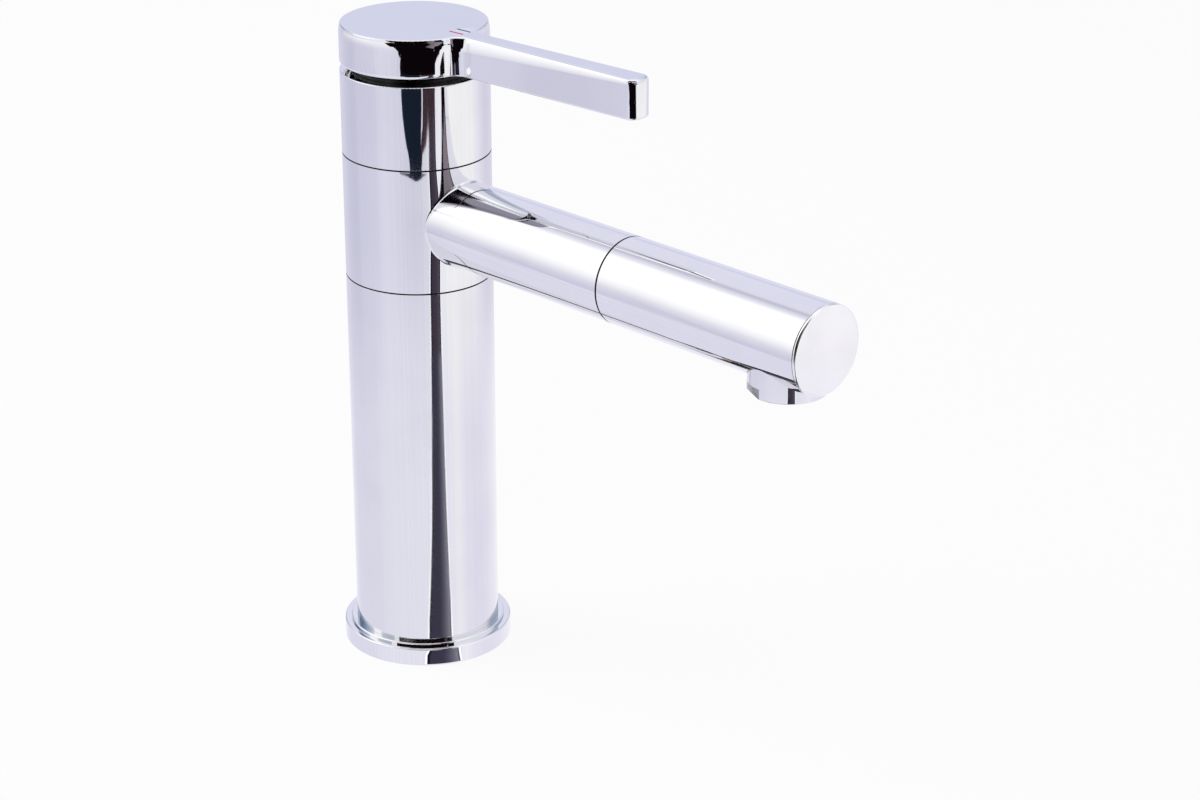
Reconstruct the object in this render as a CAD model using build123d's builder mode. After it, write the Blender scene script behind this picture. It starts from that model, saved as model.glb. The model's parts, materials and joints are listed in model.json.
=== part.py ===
from build123d import *
import os
from math import asin, cos, degrees, hypot, radians, sin, tan, atan2

# Single-lever basin mixer with a swivelling spout and a pull-out spray head.
# Lengths are in millimetres. Z is up, the deck's top is at zero, the spout runs along X.

# Outer sizes of the base, the column and the rings stacked on it
base_diameter = 58.6
base_thickness = 5.0
base_edge_radius = 0.8
column_diameter = 50.0
column_length = 131.0
column_wall = 3.0
seam_gap = 0.3
seam_edge = 0.15
ring_length = 42.7
hub_gap = 2.4
hub_height = 13.3

# Spout and spray head
spout_diameter = 29.0
spout_wall = 2.3
spout_reach = 100.1
spout_rise = 0.85
spout_root_radius = 0.8
head_length = 83.9
head_wall = 2.0
end_cap_thickness = 1.0
end_cap_plug = 3.0
end_edge_radius = 0.8
end_gap = 0.25
aerator_back = 15.5
aerator_diameter = 24.8
aerator_drop = 2.4

# Lever and hub
lever_turn = 4.0
lever_length = 100.0
lever_width = 9.2
lever_root_radius = 5.0
lever_tip_radius = 3.5
hub_wall = 1.8
hub_roof = 3.0
edge_radius = 0.8
lift_angle = 16.0
swivel_angle = 60.0
mark_length = 5.8
mark_width = 0.5
mark_depth = 0.4
mark_spacing = 3.5
mark_reach = 21.0

# Shank and deck clamp
shank_diameter = 34.0
shank_wall = 2.0
shank_length = 60.0
shank_thread_pitch = 1.5
shank_thread_depth = 0.9
thread_flank = 30.0
deck_thickness = 20.0
gasket_thickness = 5.0
clamp_washer_thickness = 2.5
clamp_diameter = 54.0
nut_across_flats = 46.0
nut_height = 12.5
column_floor = 7.0
seal_width = 4.0
seal_depth = 2.5
seal_inset = 2.8

# Inlet block and pipes
inlet_block_height = 12.0
inlet_thread_radius = 4.6
inlet_thread_depth = 7.0
inlet_angle = 110.0
port_margin = 0.9
pipe_radius = 4.0
pipe_wall = 1.0
pipe_socket = 3.5
hose_hole_radius = 7.2
inlet_screw_radius = 1.5
inlet_screw_depth = 4.5
inlet_head_radius = 2.4
inlet_head_height = 3.0

# Core tube that carries the spout ring and the valve
core_radius = 19.0
core_wall = 3.0
collar_height = 8.0
collar_depth = 2.0
bearing_height = 4.0
plug_height = 5.5
window_margin = 2.0
stop_screw_radius = 2.5
stop_tip_radius = 2.0
stop_groove_depth = 1.7
stop_height = 14.0
screw_recess = 0.6

# Cartridge, counted upwards from the seat of the valve body
valve_floor = 3.9
channel_height = 2.0
cartridge_radius = 17.5
cartridge_wall = 1.7
cartridge_base_height = 2.8
disc_height = 2.8
moving_disc_height = 2.6
driver_height = 6.2
driver_width = 18.0
pocket_floor = 0.6
carrier_flange_height = 2.0
carrier_neck_radius = 13.2
shelf_height = 1.6
neck_height = 3.9
neck_wall = 1.75
nut_thread_depth = 1.5
nut_thread_height = 4.4
nut_flange_radius = 20.9
nut_flange_height = 3.0
spanner_slot_count = 4
spanner_slot_width = 3.0
spanner_slot_depth = 1.2
sleeve_lip = 1.5
moving_disc_radius = 11.5
disc_offset = 2.5
chamber_length = 11.0
chamber_width = 8.7
chamber_depth = 1.2
chamber_offset = 6.15
seal_ring_height = 1.2
seal_ring_width = 1.4
peg_radius = 1.5
peg_reach = 13.5
peg_length = 1.8
inlet_port_radius = 2.2
inlet_port_x = 4.2
inlet_port_y = 4.6
outlet_port_radius = 2.8
outlet_port_x = -4.6
driver_peg_radius = 1.0
driver_peg_length = 1.0
driver_peg_x = 3.0
driver_peg_y = 6.0

# Lever linkage
pin_radius = 1.5
pin_reach = 17.0
pin_drop = 5.3
ear_radius = 3.0
ear_thickness = 2.8
block_width = 7.6
block_front = 9.0
arm_width = 5.6
arm_thickness = 3.0
arm_reach = 9.5
arm_tip_radius = 1.9
bracket_thickness = 2.0
bracket_screw_x = 3.0
bracket_screw_y = 8.0
bracket_screw_radius = 1.5
bracket_screw_depth = 5.5
bracket_head_radius = 2.6
bracket_head_height = 1.4
pocket_wall = 2.2
pocket_back = 3.0
pocket_height = 6.3
grub_screw_radius = 2.0
grub_boss_width = 6.6
grub_boss_depth = 2.4

# Inside the spray head
guide_wall = 2.1
guide_chamfer = 1.2
spigot_length = 28.0
spigot_flange = 6.0
ring_groove_back = 8.0
ring_groove_width = 2.0
ring_groove_depth = 1.2
hose_thread_radius = 7.0
hose_thread_depth = 10.0
waterway_radius = 4.5
duct_wall = 2.0
outlet_boss_radius = 9.5
outlet_boss_rise = 7.5
check_valve_length = 9.0
check_plate_back = 3.0
check_plate_thickness = 1.5
check_hole_count = 4
aerator_wall = 1.8
aerator_lip = 1.4
aerator_lip_width = 1.0
aerator_thread = 3.0
aerator_insert_height = 4.0
aerator_seal_height = 1.5
aerator_seal_width = 2.5
aerator_flat_depth = 1.0
aerator_flat_height = 3.3
aerator_flat_turn = 65.0
jet_radius = 0.7
jet_pitch = 2.6
jet_rings = 3
jets_in_first_ring = 6

# Clearances
running = 0.05
slip = 0.2
clear = 0.3

# Radii that follow from the sizes above
column_radius = column_diameter / 2
column_inner = column_radius - column_wall
spout_radius = spout_diameter / 2
spout_bore = spout_radius - spout_wall
head_bore = spout_radius - head_wall
shank_radius = shank_diameter / 2
shank_bore = shank_radius - shank_wall
pipe_bore = pipe_radius - pipe_wall
core_bore = core_radius - core_wall
bearing_radius = column_inner - clear - running
cavity_radius = cartridge_radius - cartridge_wall
carrier_radius = cavity_radius - 2 * slip
neck_radius = carrier_neck_radius + running + neck_wall
nut_thread_radius = cartridge_radius + nut_thread_depth
hub_inner = column_radius - hub_wall
guide_bore = spout_bore - guide_wall
spigot_radius = guide_bore - slip
aerator_radius = aerator_diameter / 2
aerator_inner = aerator_radius - aerator_wall
duct_radius = waterway_radius + duct_wall

# Heights that follow, from the deck up
floor_top = base_thickness + column_floor
block_top = floor_top + inlet_block_height
column_top = base_thickness + column_length
collar_top = column_top - collar_depth
collar_bottom = collar_top - collar_height
ring_bottom = column_top + seam_gap
ring_top = ring_bottom + ring_length
spout_z = (ring_bottom + ring_top) / 2 + spout_rise
sleeve_bottom = ring_top + seam_gap
plug_bottom = sleeve_bottom - plug_height
pipe_bottom = block_top - pipe_socket
pipe_top = plug_bottom + pipe_socket
cartridge_floor = sleeve_bottom + valve_floor
housing_bottom = cartridge_floor + cartridge_base_height
moving_disc_bottom = housing_bottom + disc_height + running
driver_bottom = moving_disc_bottom + moving_disc_height
driver_top = driver_bottom + driver_height
flange_bottom = driver_top + slip
flange_top = flange_bottom + carrier_flange_height
shelf_bottom = flange_top + slip
shoulder = shelf_bottom + shelf_height
valve_top = shoulder + nut_thread_height
sleeve_top = valve_top + running + sleeve_lip
nut_top = valve_top + nut_flange_height
bracket_bottom = nut_top + clear
bracket_top = bracket_bottom + bracket_thickness
hub_bottom = sleeve_top + hub_gap
hub_top = hub_bottom + hub_height
hub_ceiling = hub_top - hub_roof
pin_z = hub_ceiling - pin_drop
pocket_bottom = driver_bottom + pocket_floor
arm_tip_z = pocket_bottom + slip + arm_tip_radius

# Heights that follow, from the deck down
gasket_bottom = -deck_thickness - gasket_thickness
washer_bottom = gasket_bottom - clamp_washer_thickness

# Places along the spout
head_start = spout_reach + seam_gap
head_end = head_start + head_length
core_start = head_start + spigot_flange
spigot_start = head_start - spigot_length
aerator_reach = head_end - aerator_back
aerator_bottom = spout_z - spout_radius - aerator_drop
insert_bottom = aerator_bottom + aerator_lip
aerator_seal_bottom = insert_bottom + aerator_insert_height
aerator_seal_top = aerator_seal_bottom + aerator_seal_height
aerator_top = aerator_seal_top + aerator_thread

# How far the discs slide when the lever is lifted all the way
lift = radians(lift_angle)
disc_travel = (pin_z - arm_tip_z) * sin(lift) - (pin_reach - arm_reach) * (1 - cos(lift))
slot_back = arm_reach + arm_tip_radius + clear
slot_front = disc_travel + arm_tip_radius + clear - arm_reach

# Places seen from above: pipes for hot, cold and mixed water, then the cartridge's ports
inlet_ring = shank_bore - inlet_thread_radius - port_margin
pipe_x = inlet_ring * cos(radians(inlet_angle))
pipe_y = inlet_ring * sin(radians(inlet_angle))
pipe_places = [(pipe_x, -pipe_y), (pipe_x, pipe_y), (-inlet_ring, 0)]
hose_place = (shank_bore - hose_hole_radius - clear, 0)
port_places = [(inlet_port_x, -inlet_port_y), (inlet_port_x, inlet_port_y), (outlet_port_x, 0)]
port_radii = [inlet_port_radius, inlet_port_radius, outlet_port_radius]
inlet_screw_reach = column_inner - clear - inlet_head_radius
inlet_screws = [(0, inlet_screw_reach), (0, -inlet_screw_reach)]
peg_places = [(0, peg_reach), (0, -peg_reach)]
driver_pegs = [(driver_peg_x, driver_peg_y), (driver_peg_x, -driver_peg_y)]
bracket_screw_places = [(bracket_screw_x, bracket_screw_y), (bracket_screw_x, -bracket_screw_y)]

# The lever and all that turns with it stand a few degrees off the spout's line
turn = radians(lever_turn)
lever_plan = Plane(origin=(0, 0, 0), x_dir=(cos(turn), sin(turn), 0), z_dir=(0, 0, 1))
lever_side = Plane(origin=(0, 0, 0), x_dir=(cos(turn), sin(turn), 0), z_dir=(sin(turn), -cos(turn), 0))
lever_line = Plane(origin=(0, 0, 0), x_dir=(-sin(turn), cos(turn), 0), z_dir=(cos(turn), sin(turn), 0))
spout_line = Plane(origin=(0, 0, spout_z), x_dir=(0, 1, 0), z_dir=(1, 0, 0))
outlet_line = Plane(origin=(aerator_reach, 0, 0), x_dir=(1, 0, 0), z_dir=(0, 0, 1))
stop_line = Plane(origin=(-column_radius, 0, ring_bottom + stop_height), x_dir=(0, 1, 0), z_dir=(1, 0, 0))


def rod(plane, radius, length, mode=Mode.ADD, places=((0, 0),)):
    """A round bar on a plane, or with Mode.SUBTRACT a round hole, at each place."""
    with BuildSketch(plane) as outline:
        with Locations(*places):
            Circle(radius)
    extrude(outline.sketch, amount=length, mode=mode)


def tube(plane, outer, inner, length, mode=Mode.ADD, places=((0, 0),)):
    """A ring or straight tube on a plane, or with Mode.SUBTRACT a round groove."""
    with BuildSketch(plane) as outline:
        with Locations(*places):
            Circle(outer)
            Circle(inner, mode=Mode.SUBTRACT)
    extrude(outline.sketch, amount=length, mode=mode)


def key_socket(plane, across_corners, depth, places=((0, 0),)):
    """The hexagon socket in a screw's end, sunk along the plane's normal."""
    with BuildSketch(plane) as outline:
        with Locations(*places):
            RegularPolygon(across_corners / 2, 6)
    extrude(outline.sketch, amount=depth, mode=Mode.SUBTRACT)


# Base flange: chromed brass ring on the deck, with a groove for its seal
seal_outer = base_diameter / 2 - seal_inset
with BuildPart() as base_flange:
    rod(Plane.XY, base_diameter / 2, base_thickness)
    fillet(base_flange.edges().group_by(Axis.Z)[-1], base_edge_radius)
    rod(Plane.XY, shank_radius + clear, base_thickness, Mode.SUBTRACT)
    tube(Plane.XY, seal_outer, seal_outer - seal_width, seal_depth, Mode.SUBTRACT)
base_flange.part.label = "base_flange"

# Base seal: rubber ring that fills the groove and lies on the deck
with BuildPart() as base_seal:
    tube(Plane.XY, seal_outer, seal_outer - seal_width, seal_depth)
base_seal.part.label = "base_seal"

# Body column: chromed brass tube with a thick floor that takes the shank's thread
with BuildPart() as body_column:
    rod(Plane.XY.offset(base_thickness), column_radius, column_length)
    fillet(body_column.edges().group_by(Axis.Z)[-1], seam_edge)
    rod(Plane.XY.offset(floor_top), column_inner, column_length, Mode.SUBTRACT)
    rod(Plane.XY.offset(base_thickness), shank_radius, column_floor, Mode.SUBTRACT)
    rod(Plane.XY.offset(floor_top), inlet_screw_radius, -inlet_screw_depth, Mode.SUBTRACT, inlet_screws)
body_column.part.label = "body_column"

# Mounting shank: brass tube that goes down through the deck's hole, its thread cut as rings a pitch apart
shank_chamfer = shank_wall / 2
thread_turns = int((shank_length - shank_chamfer) / shank_thread_pitch) - 1
groove_half = shank_thread_depth * tan(radians(thread_flank))
shank_side = [(shank_bore, floor_top), (shank_radius, floor_top)]
for thread_turn in range(1, thread_turns + 1):
    root_z = -thread_turn * shank_thread_pitch
    shank_side.append((shank_radius, root_z + groove_half))
    shank_side.append((shank_radius - shank_thread_depth, root_z))
    shank_side.append((shank_radius, root_z - groove_half))
shank_side.append((shank_radius, shank_chamfer - shank_length))
shank_side.append((shank_radius - shank_chamfer, -shank_length))
shank_side.append((shank_bore, -shank_length))
with BuildPart() as mounting_shank:
    with BuildSketch(Plane.XZ):
        with BuildLine():
            Polyline(*shank_side, close=True)
        make_face()
    revolve(axis=Axis.Z)
mounting_shank.part.label = "mounting_shank"

# Inlet block: brass disc with threaded ports below, pipe sockets above and a hole for the spray hose
with BuildPart() as inlet_block:
    rod(Plane.XY.offset(floor_top), column_inner - slip, inlet_block_height)
    rod(Plane.XY.offset(floor_top), inlet_thread_radius, inlet_thread_depth, Mode.SUBTRACT, pipe_places)
    rod(Plane.XY.offset(floor_top), pipe_bore, inlet_block_height, Mode.SUBTRACT, pipe_places)
    rod(Plane.XY.offset(pipe_bottom), pipe_radius, pipe_socket, Mode.SUBTRACT, pipe_places)
    rod(Plane.XY.offset(floor_top), hose_hole_radius, inlet_block_height, Mode.SUBTRACT, [hose_place])
    rod(Plane.XY.offset(floor_top), inlet_screw_radius, inlet_block_height, Mode.SUBTRACT, inlet_screws)
inlet_block.part.label = "inlet_block"

# Inlet block screws: two cap screws into the column's floor
with BuildPart() as inlet_block_screws:
    rod(
        Plane.XY.offset(floor_top - inlet_screw_depth),
        inlet_screw_radius,
        inlet_screw_depth + inlet_block_height,
        places=inlet_screws,
    )
    rod(Plane.XY.offset(block_top), inlet_head_radius, inlet_head_height, places=inlet_screws)
    key_socket(
        Plane.XY.offset(block_top + inlet_head_height),
        inlet_head_radius,
        -inlet_head_height / 2,
        inlet_screws,
    )
inlet_block_screws.part.label = "inlet_block_screws"


def riser_pipe(place):
    """A copper pipe from the inlet block up to the valve body."""
    tube(Plane.XY.offset(pipe_bottom), pipe_radius, pipe_bore, pipe_top - pipe_bottom, places=[place])


# Riser pipes: hot and cold water go up, mixed water comes back down to the spray hose
with BuildPart() as hot_pipe:
    riser_pipe(pipe_places[0])
hot_pipe.part.label = "hot_pipe"

with BuildPart() as cold_pipe:
    riser_pipe(pipe_places[1])
cold_pipe.part.label = "cold_pipe"

with BuildPart() as mixed_pipe:
    riser_pipe(pipe_places[2])
mixed_pipe.part.label = "mixed_pipe"

# Core tube: brass tube screwed into the column's top, open in front where the hose bends into the spout
window_bottom = spout_z - spout_bore - window_margin
window_height = 2 * (spout_bore + window_margin)
groove_half = swivel_angle + degrees(asin((stop_tip_radius + clear) / (core_radius - stop_groove_depth)))
groove_start = radians(180 - groove_half)
groove_plane = Plane(
    origin=(0, 0, ring_bottom + stop_height),
    x_dir=(cos(groove_start), sin(groove_start), 0),
    z_dir=(sin(groove_start), -cos(groove_start), 0),
)
with BuildPart() as core_tube:
    rod(Plane.XY.offset(collar_bottom), column_inner, collar_height)
    rod(Plane.XY.offset(collar_bottom), core_radius, sleeve_bottom - collar_bottom)
    rod(Plane.XY.offset(collar_bottom), core_bore, sleeve_bottom - collar_bottom, Mode.SUBTRACT)
    with BuildSketch(Plane.XY.offset(window_bottom)):
        Rectangle(core_radius + clear, 2 * (core_radius + clear), align=(Align.MIN, Align.CENTER))
    extrude(amount=window_height, mode=Mode.SUBTRACT)
    with BuildSketch(groove_plane):
        with Locations((core_radius - stop_groove_depth, 0)):
            Rectangle(2 * stop_groove_depth, 2 * (stop_tip_radius + clear), align=(Align.MIN, Align.CENTER))
    revolve(axis=Axis.Z, revolution_arc=2 * groove_half, mode=Mode.SUBTRACT)
core_tube.part.label = "core_tube"

# Bearings: plastic rings on the core, one in each end of the spout ring
bearing_length = seam_gap + bearing_height - running
with BuildPart() as lower_bearing:
    tube(Plane.XY.offset(collar_top), bearing_radius, core_radius, collar_depth + bearing_length)
lower_bearing.part.label = "lower_bearing"

with BuildPart() as upper_bearing:
    tube(Plane.XY.offset(sleeve_bottom - bearing_length), bearing_radius, core_radius, bearing_length)
upper_bearing.part.label = "upper_bearing"

# Valve body: brass cup on the core, with the cartridge's seat and the ways in from the pipes
with BuildPart() as valve_body:
    rod(Plane.XY.offset(sleeve_bottom), column_inner, valve_top - sleeve_bottom)
    rod(Plane.XY.offset(plug_bottom), core_bore, plug_height)
    rod(Plane.XY.offset(cartridge_floor), cartridge_radius, valve_top - cartridge_floor, Mode.SUBTRACT)
    rod(Plane.XY.offset(shoulder), nut_thread_radius, nut_thread_height, Mode.SUBTRACT)
    rod(Plane.XY.offset(plug_bottom), pipe_radius, pipe_socket, Mode.SUBTRACT, pipe_places)
    rod(Plane.XY.offset(cartridge_floor - peg_length), peg_radius, peg_length, Mode.SUBTRACT, peg_places)
    for pipe, port, radius in zip(pipe_places, port_places, port_radii):
        across, along = port[0] - pipe[0], port[1] - pipe[1]
        middle = ((port[0] + pipe[0]) / 2, (port[1] + pipe[1]) / 2)
        slant = degrees(atan2(along, across))
        rod(Plane.XY.offset(pipe_top), radius, cartridge_floor - pipe_top, Mode.SUBTRACT, [port])
        with BuildSketch(Plane.XY.offset(pipe_top)):
            with Locations(middle):
                SlotCenterToCenter(hypot(across, along), 2 * inlet_port_radius, rotation=slant)
        extrude(amount=channel_height, mode=Mode.SUBTRACT)
valve_body.part.label = "valve_body"

# Upper sleeve: chromed tube round the valve body, with a lip over its rim
with BuildPart() as upper_sleeve:
    rod(Plane.XY.offset(sleeve_bottom), column_radius, sleeve_top - sleeve_bottom)
    fillet(upper_sleeve.edges().group_by(Axis.Z)[-1], clear)
    fillet(upper_sleeve.edges().group_by(Axis.Z)[0], seam_edge)
    rod(Plane.XY.offset(sleeve_bottom), column_inner, valve_top + running - sleeve_bottom, Mode.SUBTRACT)
    rod(Plane.XY.offset(valve_top), nut_flange_radius + clear, 2 * sleeve_lip, Mode.SUBTRACT)
upper_sleeve.part.label = "upper_sleeve"

# Cartridge base: plastic plate with the ports, two pegs and recesses for the seal rings
with BuildPart() as cartridge_base:
    rod(Plane.XY.offset(cartridge_floor), cartridge_radius, cartridge_base_height)
    rod(Plane.XY.offset(cartridge_floor - peg_length), peg_radius, peg_length, places=peg_places)
    for place, radius in zip(port_places, port_radii):
        seat = radius + seal_ring_width
        rod(Plane.XY.offset(cartridge_floor), radius, cartridge_base_height, Mode.SUBTRACT, [place])
        rod(Plane.XY.offset(cartridge_floor), seat, seal_ring_height, Mode.SUBTRACT, [place])
cartridge_base.part.label = "cartridge_base"

# Cartridge seals: one rubber ring round each port
with BuildPart() as cartridge_seals:
    for place, radius in zip(port_places, port_radii):
        seat = radius + seal_ring_width
        tube(Plane.XY.offset(cartridge_floor), seat, radius, seal_ring_height, places=[place])
cartridge_seals.part.label = "cartridge_seals"

# Fixed disc: ceramic plate with the three ports
with BuildPart() as fixed_disc:
    rod(Plane.XY.offset(housing_bottom), cavity_radius, disc_height)
    for place, radius in zip(port_places, port_radii):
        rod(Plane.XY.offset(housing_bottom), radius, disc_height, Mode.SUBTRACT, [place])
fixed_disc.part.label = "fixed_disc"

# Cartridge housing: plastic cap over the discs, its neck guides the carrier
neck_bore = carrier_neck_radius + running
with BuildPart() as cartridge_housing:
    rod(Plane.XY.offset(housing_bottom), cartridge_radius, shoulder - housing_bottom)
    rod(Plane.XY.offset(shoulder), neck_radius, neck_height)
    rod(Plane.XY.offset(housing_bottom), cavity_radius, shelf_bottom - housing_bottom, Mode.SUBTRACT)
    rod(Plane.XY.offset(shelf_bottom), neck_bore, shelf_height + neck_height, Mode.SUBTRACT)
cartridge_housing.part.label = "cartridge_housing"

# Cartridge nut: round nut that holds the cartridge down, with four spanner slots in its top
with BuildPart() as cartridge_nut:
    rod(Plane.XY.offset(shoulder), nut_thread_radius, nut_thread_height)
    rod(Plane.XY.offset(valve_top), nut_flange_radius, nut_flange_height)
    chamfer(cartridge_nut.edges().group_by(Axis.Z)[-1], clear)
    rod(Plane.XY.offset(shoulder), neck_radius + slip, nut_top - shoulder, Mode.SUBTRACT)
    with BuildSketch(Plane.XY.offset(nut_top)):
        with PolarLocations(nut_flange_radius, spanner_slot_count, start_angle=45):
            Rectangle(2 * spanner_slot_depth, spanner_slot_width)
    extrude(amount=-nut_flange_height, mode=Mode.SUBTRACT)
cartridge_nut.part.label = "cartridge_nut"

# Deck gasket, clamp washer and shank nut: the stack that clamps the deck from below
with BuildPart() as deck_gasket:
    tube(Plane.XY.offset(gasket_bottom), clamp_diameter / 2, shank_radius + clear, gasket_thickness)
deck_gasket.part.label = "deck_gasket"

with BuildPart() as clamp_washer:
    tube(Plane.XY.offset(washer_bottom), clamp_diameter / 2, shank_radius + clear, clamp_washer_thickness)
clamp_washer.part.label = "clamp_washer"

with BuildPart() as shank_nut:
    with BuildSketch(Plane.XY.offset(washer_bottom)):
        RegularPolygon(nut_across_flats / 2, 6, major_radius=False)
        Circle(shank_radius + running, mode=Mode.SUBTRACT)
    extrude(amount=-nut_height)
shank_nut.part.label = "shank_nut"

# Spout body: one brass casting, the swivel ring and the spout's tube
with BuildPart() as spout_body:
    rod(Plane.XY.offset(ring_bottom), column_radius, ring_length)
    fillet(spout_body.edges().group_by(Axis.Z)[-1] + spout_body.edges().group_by(Axis.Z)[0], seam_edge)
    rod(spout_line, spout_radius, spout_reach)
    plain_edges = (GeomType.CIRCLE, GeomType.LINE)
    spout_root = [edge for edge in spout_body.edges() if edge.geom_type not in plain_edges]
    fillet(spout_root, spout_root_radius)
    fillet(spout_body.edges().group_by(Axis.X)[-1], seam_edge)
    rod(Plane.XY.offset(ring_bottom), core_radius + 2 * slip, ring_length, Mode.SUBTRACT)
    rod(Plane.XY.offset(ring_bottom), bearing_radius + running, bearing_height, Mode.SUBTRACT)
    rod(Plane.XY.offset(ring_top), bearing_radius + running, -bearing_height, Mode.SUBTRACT)
    rod(spout_line, spout_bore, spout_reach, Mode.SUBTRACT)
    rod(stop_line, stop_screw_radius, column_radius, Mode.SUBTRACT)
spout_body.part.label = "spout_body"

# Hose guide: plastic liner in the spout, its bore guides the hose and seats the spray head
with BuildPart() as hose_guide:
    tube(spout_line.offset(column_radius), spout_bore, guide_bore, spout_reach - column_radius)
    chamfer(hose_guide.edges().group_by(Axis.X)[0].sort_by(SortBy.RADIUS)[0], guide_chamfer)
hose_guide.part.label = "hose_guide"

# Swivel stop screw: grub screw in the ring's back, its tip runs in the core's groove
stop_shoulder = column_radius - core_radius - 2 * slip
stop_tip_end = column_radius - core_radius + stop_groove_depth - clear
with BuildPart() as swivel_stop_screw:
    rod(stop_line.offset(screw_recess), stop_screw_radius, stop_shoulder - screw_recess)
    rod(stop_line.offset(screw_recess), stop_tip_radius, stop_tip_end - screw_recess)
    key_socket(stop_line.offset(screw_recess), stop_screw_radius, stop_screw_radius)
swivel_stop_screw.part.label = "swivel_stop_screw"

# Docking spigot: brass tail of the spray head, with the hose's thread and a groove for its ring
ring_groove = spout_line.offset(head_start - ring_groove_back)
with BuildPart() as docking_spigot:
    rod(spout_line.offset(spigot_start), spigot_radius, spigot_length)
    rod(spout_line.offset(head_start), head_bore, spigot_flange)
    rod(spout_line.offset(spigot_start), hose_thread_radius, hose_thread_depth, Mode.SUBTRACT)
    rod(spout_line.offset(spigot_start), waterway_radius, spigot_length + spigot_flange, Mode.SUBTRACT)
    tube(ring_groove, spigot_radius, spigot_radius - ring_groove_depth, ring_groove_width, Mode.SUBTRACT)
docking_spigot.part.label = "docking_spigot"

# Docking ring: rubber ring that centres the spray head in the hose guide
with BuildPart() as docking_ring:
    tube(ring_groove, guide_bore - running, spigot_radius - ring_groove_depth, ring_groove_width)
docking_ring.part.label = "docking_ring"

# Check valve: plastic insert with a spoked plate in the spigot's water way
check_start = spout_line.offset(spigot_start + hose_thread_depth)
check_bore = waterway_radius - pipe_wall
with BuildPart() as check_valve:
    tube(check_start, waterway_radius, check_bore, check_valve_length)
    rod(check_start.offset(check_plate_back), check_bore, check_plate_thickness)
    with BuildSketch(check_start):
        with PolarLocations(waterway_radius / 2, check_hole_count):
            Circle(jet_radius)
    extrude(amount=check_valve_length, mode=Mode.SUBTRACT)
check_valve.part.label = "check_valve"

# Spray head core: plastic water way from the spigot to the outlet above the aerator
with BuildPart() as head_core:
    rod(spout_line.offset(core_start), duct_radius, aerator_reach - core_start)
    rod(outlet_line.offset(aerator_top), outlet_boss_radius, spout_z + outlet_boss_rise - aerator_top)
    rod(outlet_line.offset(aerator_seal_top), aerator_inner, aerator_thread)
    rod(spout_line.offset(core_start), waterway_radius, aerator_reach - core_start, Mode.SUBTRACT)
    rod(
        outlet_line.offset(aerator_seal_top),
        aerator_inner - aerator_seal_width,
        spout_z - aerator_seal_top,
        Mode.SUBTRACT,
    )
head_core.part.label = "head_core"

# Spray head shell: chromed tube with a round opening for the aerator
shell_length = head_length - end_cap_thickness - end_gap
with BuildPart() as head_shell:
    rod(spout_line.offset(head_start), spout_radius, shell_length)
    fillet(head_shell.edges().group_by(Axis.X)[0] + head_shell.edges().group_by(Axis.X)[-1], seam_edge)
    rod(spout_line.offset(head_start), head_bore, shell_length, Mode.SUBTRACT)
    rod(
        outlet_line.offset(aerator_bottom),
        aerator_radius + slip,
        aerator_top - aerator_bottom,
        Mode.SUBTRACT,
    )
head_shell.part.label = "head_shell"

# End cap: flat round plug that closes the spray head
cap_line = spout_line.offset(head_end - end_cap_thickness)
with BuildPart() as head_end_cap:
    rod(cap_line, spout_radius, end_cap_thickness)
    fillet(head_end_cap.edges().group_by(Axis.X)[-1], end_edge_radius)
    rod(cap_line, head_bore, -end_cap_plug)
    rod(
        outlet_line.offset(aerator_bottom),
        aerator_radius + clear,
        aerator_top + clear - aerator_bottom,
        Mode.SUBTRACT,
    )
head_end_cap.part.label = "head_end_cap"

# Aerator housing: chromed ring with two spanner flats and a lip that holds the insert
with BuildPart() as aerator_housing:
    rod(outlet_line.offset(aerator_bottom), aerator_radius, aerator_top - aerator_bottom)
    fillet(aerator_housing.edges().group_by(Axis.Z)[0], clear)
    rod(outlet_line.offset(insert_bottom), aerator_inner, aerator_top - insert_bottom, Mode.SUBTRACT)
    rod(outlet_line.offset(aerator_bottom), aerator_inner - aerator_lip_width, aerator_lip, Mode.SUBTRACT)
    with BuildSketch(outlet_line.offset(aerator_bottom)):
        Circle(aerator_radius)
        Rectangle(
            2 * (aerator_radius - aerator_flat_depth),
            2 * aerator_diameter,
            rotation=aerator_flat_turn,
            mode=Mode.SUBTRACT,
        )
    extrude(amount=aerator_flat_height, mode=Mode.SUBTRACT)
aerator_housing.part.label = "aerator_housing"

# Aerator insert: plastic disc with three rings of jets
with BuildPart() as aerator_insert:
    rod(outlet_line.offset(insert_bottom), aerator_inner, aerator_insert_height)
    with BuildSketch(outlet_line.offset(insert_bottom)):
        for ring in range(1, jet_rings + 1):
            with PolarLocations(ring * jet_pitch, jets_in_first_ring * ring):
                Circle(jet_radius)
    extrude(amount=aerator_insert_height, mode=Mode.SUBTRACT)
aerator_insert.part.label = "aerator_insert"

# Aerator seal: rubber ring between the insert and the spray head's core
with BuildPart() as aerator_seal:
    tube(
        outlet_line.offset(aerator_seal_bottom),
        aerator_inner,
        aerator_inner - aerator_seal_width,
        aerator_seal_height,
    )
aerator_seal.part.label = "aerator_seal"

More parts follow.
